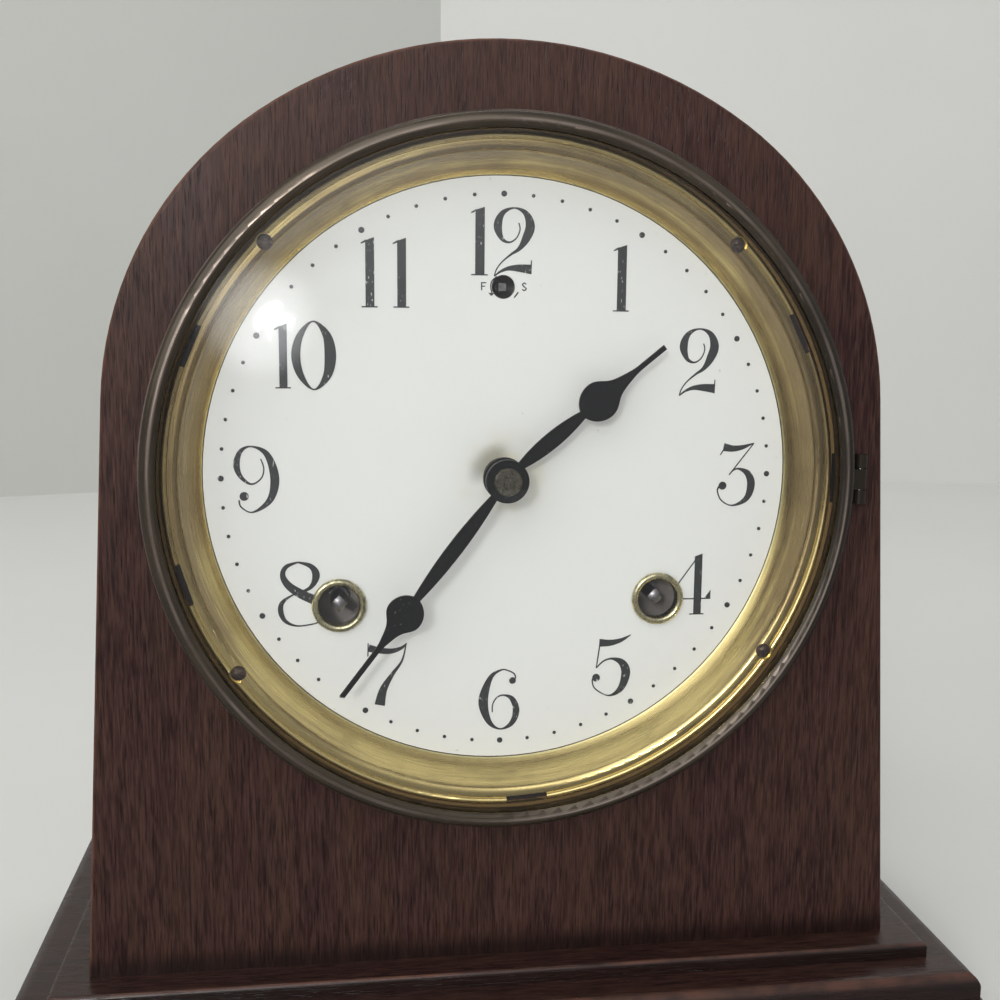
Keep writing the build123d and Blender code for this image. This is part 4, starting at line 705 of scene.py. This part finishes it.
def metal(name, colour, dark_share, scale, gloss, grain=(1, 1, 1)):
    """Metal with darker patches and fine marks along its grain."""
    made = Finish(name)
    cloud = made.noise(made.place, scale, 4)
    marks = made.noise(made.stretch(made.place, grain), 2500, 2)
    dull = dimmed(colour, dark_share)
    return made.surface(
        Base_Color=made.mix(made.remap(cloud, 0.4, 0.68), colour, dull),
        Metallic=1.0,
        Roughness=made.remap(marks, 0.3, 0.7, gloss, gloss + 0.16),
        Normal=made.bump(marks, 0.01 * MM))


def lathe_lines(made, broad_scale, fine_scale):
    """Broad bands, fine lines and a slow change round the dial's axis, then the radius, the depth in front of the dial
    and how far to the right and up a place lies, as shares."""
    centre = dial_centre()
    away, (across, up), y = made.round_axis(centre)
    profile = made.math("SUBTRACT", away, y)

    def round_noise(spread, scale, detail):
        return made.noise(made.join(made.math("MULTIPLY", across, spread), made.math("MULTIPLY", up, spread), profile),
                          scale, detail)

    depth = made.math("SUBTRACT", centre.y, y)
    return (round_noise(5 * MM, broad_scale, 2), round_noise(3 * MM, fine_scale, 2), round_noise(40 * MM, 70, 3),
            away, depth, across, up)


class CLOCK_OT_ring(bpy.types.Operator):
    """Polishes the dial's brass ring, its screws and the winding eyelets"""

    bl_idname = "clock.ring"
    bl_label = "Dial ring"

    def execute(self, context):
        colours = context.scene.clock_finish
        ring = Finish("ring_brass")
        bands, lines, cloud, away, depth, across, up = lathe_lines(ring, 420, 2600)
        blotch = ring.math("ADD", ring.math("MULTIPLY", bands, 0.5), ring.math("MULTIPLY", cloud, 0.5))
        grimy = between(ring, away, *RING_GRIME, 0.6 * MM)
        # Rubbed clean on the bead, and painted paler near the dial as part of the lip's painted highlight.
        clean = ring.math("ADD", ring.remap(depth, *RING_LIT_NEAR_LIP), ring.remap(away, *RING_BEAD, 0.0, 0.6))
        # Painted shade: the tarnish is painted heavier at the sides and the top and lighter at the bottom, for the
        # darker reflections there.
        painted_side_shade = ring.remap(ring.math("ABSOLUTE", across), 0.75, 1.0, 0.0, 0.1)
        grime_and_painted_shade = ring.math("ADD", ring.math("ADD", ring.math("MULTIPLY", grimy, 0.1), painted_side_shade),
                            ring.remap(up, -0.8, 0.1, -0.06, 0.15))
        # This sum holds the real tarnish and grime and the painted shade, less the clean bead and the paler lip.
        worn = ring.math("SUBTRACT", ring.math("ADD", blotch, grime_and_painted_shade), ring.math("MULTIPLY", clean, 0.2))
        tarnished_and_shaded = ring.mix(ring.remap(worn, 0.42, 0.76, 0.0, 0.9), colours.ring_brass, colours.ring_tarnish)
        lined = ring.mix(ring.remap(lines, 0.35, 0.65, 0.0, 0.25), tarnished_and_shaded, colours.ring_tarnish)
        # Painted highlight: a bright line along the ring's lip against the dial, and under it painted shade in the gap
        # at the ring's foot.
        lip_highlit = ring.mix(ring.remap(depth, *RING_LIP_HIGHLIGHT, 0.0, 0.8), lined, colours.ring_lip)
        paint(ring.surface(
            Base_Color=ring.mix(ring.remap(depth, *RING_FOOT_SHADE), lip_highlit, colours.screw_brown),
            Metallic=1.0,
            Roughness=ring.remap(lines, 0.3, 0.7, 0.24, 0.36),
            Normal=ring.bump(lines, 0.012 * MM)), "sight_ring")
        eyelets = Finish("eyelet_brass")
        cloud = eyelets.noise(eyelets.place, 700, 3)
        paint(eyelets.surface(
            Base_Color=eyelets.mix(eyelets.remap(cloud, 0.4, 0.7), colours.eyelet_pale,
                                   dimmed(colours.eyelet_pale, 0.45)),
            Metallic=1.0, Roughness=eyelets.remap(cloud, 0.3, 0.7, 0.2, 0.4)), "winding_eyelets")
        screws = Finish("screw_brown")
        scale = screws.noise(screws.place, 1200, 3)
        paint(screws.surface(
            Base_Color=screws.mix(screws.remap(scale, 0.4, 0.65), colours.screw_brown,
                                  dimmed(colours.screw_brown, 0.4)),
            Metallic=0.6, Roughness=screws.remap(scale, 0.3, 0.7, 0.35, 0.6),
            Normal=screws.bump(scale, 0.05 * MM)), "sight_ring_screws")
        return {"FINISHED"}


class CLOCK_OT_door(bpy.types.Operator):
    """Finishes the glazed door: rim, hinge, retainer and glass"""

    bl_idname = "clock.door"
    bl_label = "Glazed door"

    def execute(self, context):
        colours = context.scene.clock_finish
        rim = Finish("rim_brass")
        bands, lines, cloud, away, _, across, up = lathe_lines(rim, 600, 2400)
        patina = rim.math("ADD", rim.math("MULTIPLY", bands, 0.4), rim.math("MULTIPLY", cloud, 0.6))
        # The ridge and the brim are partly worn and partly painted highlights; the crest is painted paler towards the
        # lower right as a painted highlight.
        ridge_wear_and_gleam = rim.math("MULTIPLY", between(rim, away, *RIM_RIDGE_WEAR_AND_GLEAM, 0.3 * MM),
                         rim.remap(cloud, 0.4, 0.7, 0.1, 0.4))
        lit = rim.math("MULTIPLY", rim.remap(rim.math("SUBTRACT", across, up), 0.7, 1.35),
                       between(rim, away, *RIM_CREST_HIGHLIGHT, 0.25 * MM))
        brim_wear_and_gleam = rim.math("MULTIPLY", between(rim, away, *RIM_BRIM_WEAR_AND_GLEAM, 0.15 * MM),
                        rim.remap(cloud, 0.35, 0.65, 0.1, 0.6))
        # Painted shade: the rim is painted darker towards the right, over its patchy patina.
        dark = rim.math("MAXIMUM", rim.remap(patina, 0.35, 0.65, 0.0, 0.6), rim.remap(across, 0.6, 0.95, 0.0, 0.9))
        browned_and_shaded = rim.mix(dark, colours.rim_brown, dimmed(colours.rim_brown, 0.35))
        paint(rim.surface(
            Base_Color=rim.mix(rim.math("MAXIMUM", rim.math("MAXIMUM", ridge_wear_and_gleam, brim_wear_and_gleam), lit), browned_and_shaded, colours.rim_wear_and_highlight),
            Metallic=0.6,
            Roughness=rim.remap(lines, 0.3, 0.7, 0.22, 0.34),
            Normal=rim.bump(lines, 0.015 * MM)), "bezel_ring", "bezel_leaf", "case_leaf")
        paint(metal("retainer_brass", colours.ring_tarnish, 0.6, 160, 0.3), "glass_retainer")
        glass = Finish("clear_glass")
        edge = glass.add("ShaderNodeLayerWeight")
        glass.feed(edge.inputs["Blend"], 0.5)
        square_on = ((colours.glass_index - 1) / (colours.glass_index + 1)) ** 2
        slant = glass.math("POWER", edge.outputs["Facing"], 5.0)
        mirrored = glass.math("ADD", glass.math("MULTIPLY", slant, 1 - square_on), square_on)
        through = glass.add("ShaderNodeBsdfTransparent")
        gleam = glass.add("ShaderNodeBsdfAnisotropic")
        glass.feed(gleam.inputs["Roughness"], GLASS_ROUGHNESS)
        both = glass.add("ShaderNodeMixShader")
        for socket, value in zip(both.inputs, (mirrored, through.outputs[0], gleam.outputs[0])):
            glass.feed(socket, value)
        glass.feed(glass.output.inputs["Surface"], both.outputs[0])
        paint(glass.material, "bezel_glass")
        return {"FINISHED"}


class CLOCK_OT_hands(bpy.types.Operator):
    """Blackens the hands and dulls their nut"""

    bl_idname = "clock.hands"
    bl_label = "Hands"

    def execute(self, context):
        colours = context.scene.clock_finish
        made = Finish("hand_black")
        scuff = made.noise(made.place, 800, 4)
        edge = made.remap(made.math("ABSOLUTE", made.split(made.normal)[1]), 0.9, 0.5)
        specks = made.remap(made.noise(made.place, 1500, 2), 0.7, 0.75, 0.0, 0.4)
        bare = made.math("MAXIMUM", specks, made.math("MULTIPLY", edge, made.remap(scuff, 0.45, 0.7, 0.0, 0.35)))
        paint(made.surface(
            Base_Color=made.mix(bare, colours.hand_black, colours.steel),
            Specular_IOR_Level=0.18,
            Roughness=made.remap(scuff, 0.3, 0.7, 0.42, 0.58),
            Normal=made.bump(scuff, 0.01 * MM)), "hour_hand", "minute_hand")
        nut = Finish("nut_steel")
        dirt, glints = nut.noise(nut.place, 900, 4), nut.noise(nut.place, 2600, 2)
        ground = nut.mix(nut.remap(dirt, 0.4, 0.66), colours.nut_olive, dimmed(colours.nut_olive, 0.35))
        paint(nut.surface(
            Base_Color=nut.mix(nut.remap(glints, 0.62, 0.7, 0.0, 0.7), ground, colours.steel),
            Metallic=0.7, Roughness=nut.remap(dirt, 0.3, 0.7, 0.3, 0.5),
            Normal=nut.bump(glints, 0.05 * MM)), "hand_nut", "centre_arbor")
        return {"FINISHED"}


class CLOCK_OT_movement(bpy.types.Operator):
    """Finishes the movement's plates, wheels, arbors and springs"""

    bl_idname = "clock.movement"
    bl_label = "Movement"

    def execute(self, context):
        colours = context.scene.clock_finish
        plates = metal("plate_brass", colours.old_brass, 0.5, 70, 0.26, grain=(1, 1, 0.03))
        paint(plates, "back_plate", "plate_pillars", "movement_posts")
        front = Finish("front_plate_steel")
        stain = front.noise(front.place, 90, 4)
        paint(front.surface(
            Base_Color=front.mix(front.remap(stain, 0.4, 0.7), colours.front_plate,
                                 dimmed(colours.front_plate, 0.6)),
            Metallic=0.25,
            Roughness=front.remap(stain, 0.3, 0.7, 0.45, 0.65)), "front_plate")
        wheels = metal("wheel_brass", colours.train_brass, 0.6, 160, 0.2)
        paint(wheels, "hour_wheel", "minute_wheel", "centre_pinion", "escape_wheel", "suspension_post",
              "suspension_slide", "back_door_knob", "pendulum_bob")
        old_steel = metal("old_steel", colours.old_steel, 0.5, 600, 0.3)
        paint(old_steel, "regulator_arbor", "time_winding_arbor", "strike_winding_arbor")
        steel = metal("steel", colours.steel, 0.4, 300, 0.24)
        paint(steel, "bezel_pin", "back_pin", "movement_screws", "verge", "pendulum_rod", "pillar_nuts")
        spring = metal("spring_steel", colours.blue_steel, 0.45, 120, 0.22)
        for train in ("time", "strike"):
            paint(wheels, f"{train}_great_wheel", f"{train}_second_wheel", f"{train}_third_wheel")
            paint(steel, f"{train}_click")
            paint(spring, f"{train}_mainspring")
        return {"FINISHED"}


class CLOCK_OT_strike(bpy.types.Operator):
    """Finishes the gong, its stand, the hammer and the fly"""

    bl_idname = "clock.strike"
    bl_label = "Strike"

    def execute(self, context):
        colours = context.scene.clock_finish
        paint(metal("gong_steel", colours.blue_steel, 0.5, 140, 0.25), "gong_coil")
        paint(metal("strike_steel", colours.steel, 0.45, 260, 0.28), "gong_screws", "hammer")
        paint(metal("fly_brass", colours.train_brass, 0.6, 200, 0.24), "fly")
        stand = Finish("stand_iron")
        cast = stand.noise(stand.place, 1400, 4)
        paint(stand.surface(
            Base_Color=stand.mix(stand.remap(cast, 0.4, 0.7), colours.iron, dimmed(colours.iron, 0.5)),
            Roughness=stand.remap(cast, 0.3, 0.7, 0.4, 0.6),
            Normal=stand.bump(cast, 0.08 * MM)), "gong_stand")
        return {"FINISHED"}


def backdrop(name, colour, corners):
    """A stage sheet with a faint plaster texture."""
    made = Finish(f"{name}_paint")
    cloud = made.noise(made.place, 3, 3)
    material = made.surface(
        Base_Color=made.mix(made.remap(cloud, 0.3, 0.7, 0.0, 0.5), colour, dimmed(colour, 0.94)),
        Roughness=0.8)
    mesh = bpy.data.meshes.new(name)
    mesh.from_pydata(corners, [], [tuple(range(len(corners)))])
    mesh.materials.append(material)
    sheet = bpy.data.objects.new(name, mesh)
    bpy.context.scene.collection.objects.link(sheet)
    return sheet


def lamp(name, place, aim, size, power, colour, shape="RECTANGLE", roll=0):
    """A soft flat lamp that points at aim, its right end raised by roll degrees."""
    data = bpy.data.lights.new(name, "AREA")
    data.shape = shape
    data.size, data.size_y = size
    data.energy = power
    data.color = colour
    holder = bpy.data.objects.new(name, data)
    holder.location = place
    facing = (Vector(aim) - Vector(place)).to_track_quat("-Z", "Y")
    holder.rotation_euler = (facing @ Quaternion((0, 0, 1), math.radians(roll))).to_euler()
    bpy.context.scene.collection.objects.link(holder)
    return holder


def keep_off_glass(holder):
    """Takes the door's glass out of a lamp's light, so that the glass doesn't mirror the lamp."""
    apart = bpy.data.collections.new(f"{holder.name}_apart")
    apart.objects.link(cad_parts["bezel_glass"])
    apart.collection_objects[0].light_linking.link_state = "EXCLUDE"
    holder.light_linking.receiver_collection = apart


def towards(azimuth, elevation):
    """A unit step from the dial, in degrees to the right of straight ahead and above level."""
    turn, rise = math.radians(azimuth), math.radians(elevation)
    return Vector((math.sin(turn) * math.cos(rise), -math.cos(turn) * math.cos(rise), math.sin(rise)))


class Room(Finish):
    """Even light of a room that grows towards the ceiling. What gleams also mirrors brighter places on the left."""

    def __init__(self, stage):
        self.open(bpy.data.worlds.new("room"), "ShaderNodeOutputWorld")
        x, y, z = self.split(self.add("ShaderNodeTexCoord").outputs["Generated"])
        even = self.remap(z, *CEILING_RISE, stage.room_light, stage.ceiling_light)
        beam = self.math("SUBTRACT", z, self.math("MULTIPLY", x, BEAM_SLOPE))
        left = self.math("MULTIPLY", self.remap(x, *LEFT_SIDE), self.remap(y, *FRONT_SIDE))
        veil = self.remap(beam, *VEIL_EDGE, 0.0, stage.veil_light)
        wedge = self.remap(beam, *WEDGE_EDGE, 0.0, stage.veil_light * 2)
        aim = towards(*GLOW_AIM)
        near = self.math("ADD", self.math("MULTIPLY", x, aim.x),
                         self.math("ADD", self.math("MULTIPLY", y, aim.y), self.math("MULTIPLY", z, aim.z)))
        glow = self.remap(near, math.cos(math.radians(GLOW_REACH)), 1.0, 0.0, stage.glow_light)
        light = self.add("ShaderNodeBackground")
        self.feed(light.inputs["Color"], ROOM_WHITE)
        high = self.math("ADD", self.math("MULTIPLY", left, self.math("ADD", veil, wedge)), glow)
        mirrored = self.math("MULTIPLY", high, self.add("ShaderNodeLightPath").outputs["Is Glossy Ray"])
        self.feed(light.inputs["Strength"], self.math("ADD", even, mirrored))
        self.feed(self.output.inputs["Surface"], light.outputs[0])


class CLOCK_OT_stage(bpy.types.Operator):
    """Sets the floor, the walls, the lamps and the camera"""

    bl_idname = "clock.stage"
    bl_label = "Stage"

    def execute(self, context):
        scene, stage = context.scene, context.scene.clock_stage
        wide, deep, tall, fold = ROOM_WIDE, ROOM_DEEP, ROOM_TALL, WALL_FOLD
        left, right = deep - LEFT_WALL_TURN, deep - RIGHT_WALL_TURN
        floor = backdrop("floor", stage.wall_pale,
                         [(-wide, -wide, 0), (wide, -wide, 0), (wide, wide, 0), (-wide, wide, 0)])
        floor.visible_glossy = False
        backdrop("wall_left", stage.wall_shade,
                 [(-wide, left, 0), (fold, deep, 0), (fold, deep, tall), (-wide, left, tall)])
        backdrop("wall_right", stage.wall_pale,
                 [(fold, deep, 0), (wide, right, 0), (wide, right, tall), (fold, deep, tall)])
        middle = dial_centre()
        for name, (turn, rise, distance, size), power, colour in (
                ("softbox", SOFTBOX, stage.softbox_power, WHITE), ("key", KEY, stage.key_power, WARM_WHITE)):
            keep_off_glass(lamp(name, middle + towards(turn, rise) * distance, middle, size, power, colour))
        for name, turn, rise, size, share, roll in WINDOW_LAMPS:
            lamp(name, middle + towards(turn, rise) * WINDOW_AWAY, middle, size, stage.window_power * share,
                 COOL_WHITE, "ELLIPSE", roll)
        lamp("wall_wash", *WALL_WASH, stage.wall_power, WHITE)
        scene.world = Room(stage).material
        scene.view_settings.view_transform = "Standard"
        camera = bpy.data.objects.new("camera", bpy.data.cameras.new("camera"))
        camera.data.lens = stage.lens
        camera.data.clip_start = 0.01
        camera.matrix_world = Matrix(CAMERA_ROWS)
        scene.collection.objects.link(camera)
        scene.camera = camera
        return {"FINISHED"}


STEPS = (CLOCK_OT_case, CLOCK_OT_back, CLOCK_OT_dial, CLOCK_OT_marks, CLOCK_OT_ring, CLOCK_OT_door, CLOCK_OT_hands,
         CLOCK_OT_movement, CLOCK_OT_strike, CLOCK_OT_stage)


class CLOCK_PT_panel(bpy.types.Panel):
    """The clock's steps and their settings"""

    bl_idname = "CLOCK_PT_panel"
    bl_label = "Clock"
    bl_space_type = "VIEW_3D"
    bl_region_type = "UI"
    bl_category = "Clock"

    def draw(self, context):
        for step in STEPS:
            self.layout.operator(step.bl_idname)
        for group in (context.scene.clock_finish, context.scene.clock_dial, context.scene.clock_stage):
            box = self.layout.box()
            for key in group.__annotations__:
                box.prop(group, key)


GROUPS = {"clock_finish": ClockFinish, "clock_dial": ClockDial, "clock_stage": ClockStage}


def register():
    for kind in (*GROUPS.values(), *STEPS, CLOCK_PT_panel):
        bpy.utils.register_class(kind)
    for key, kind in GROUPS.items():
        setattr(bpy.types.Scene, key, bpy.props.PointerProperty(type=kind))


def unregister():
    for key in GROUPS:
        delattr(bpy.types.Scene, key)
    for kind in (CLOCK_PT_panel, *reversed(STEPS), *reversed(list(GROUPS.values()))):
        bpy.utils.unregister_class(kind)


def main():
    register()
    for step in (bpy.ops.clock.case, bpy.ops.clock.back, bpy.ops.clock.dial, bpy.ops.clock.marks,
                 bpy.ops.clock.ring, bpy.ops.clock.door, bpy.ops.clock.hands, bpy.ops.clock.movement,
                 bpy.ops.clock.strike, bpy.ops.clock.stage):
        step()


if __name__ == "__main__":
    main()
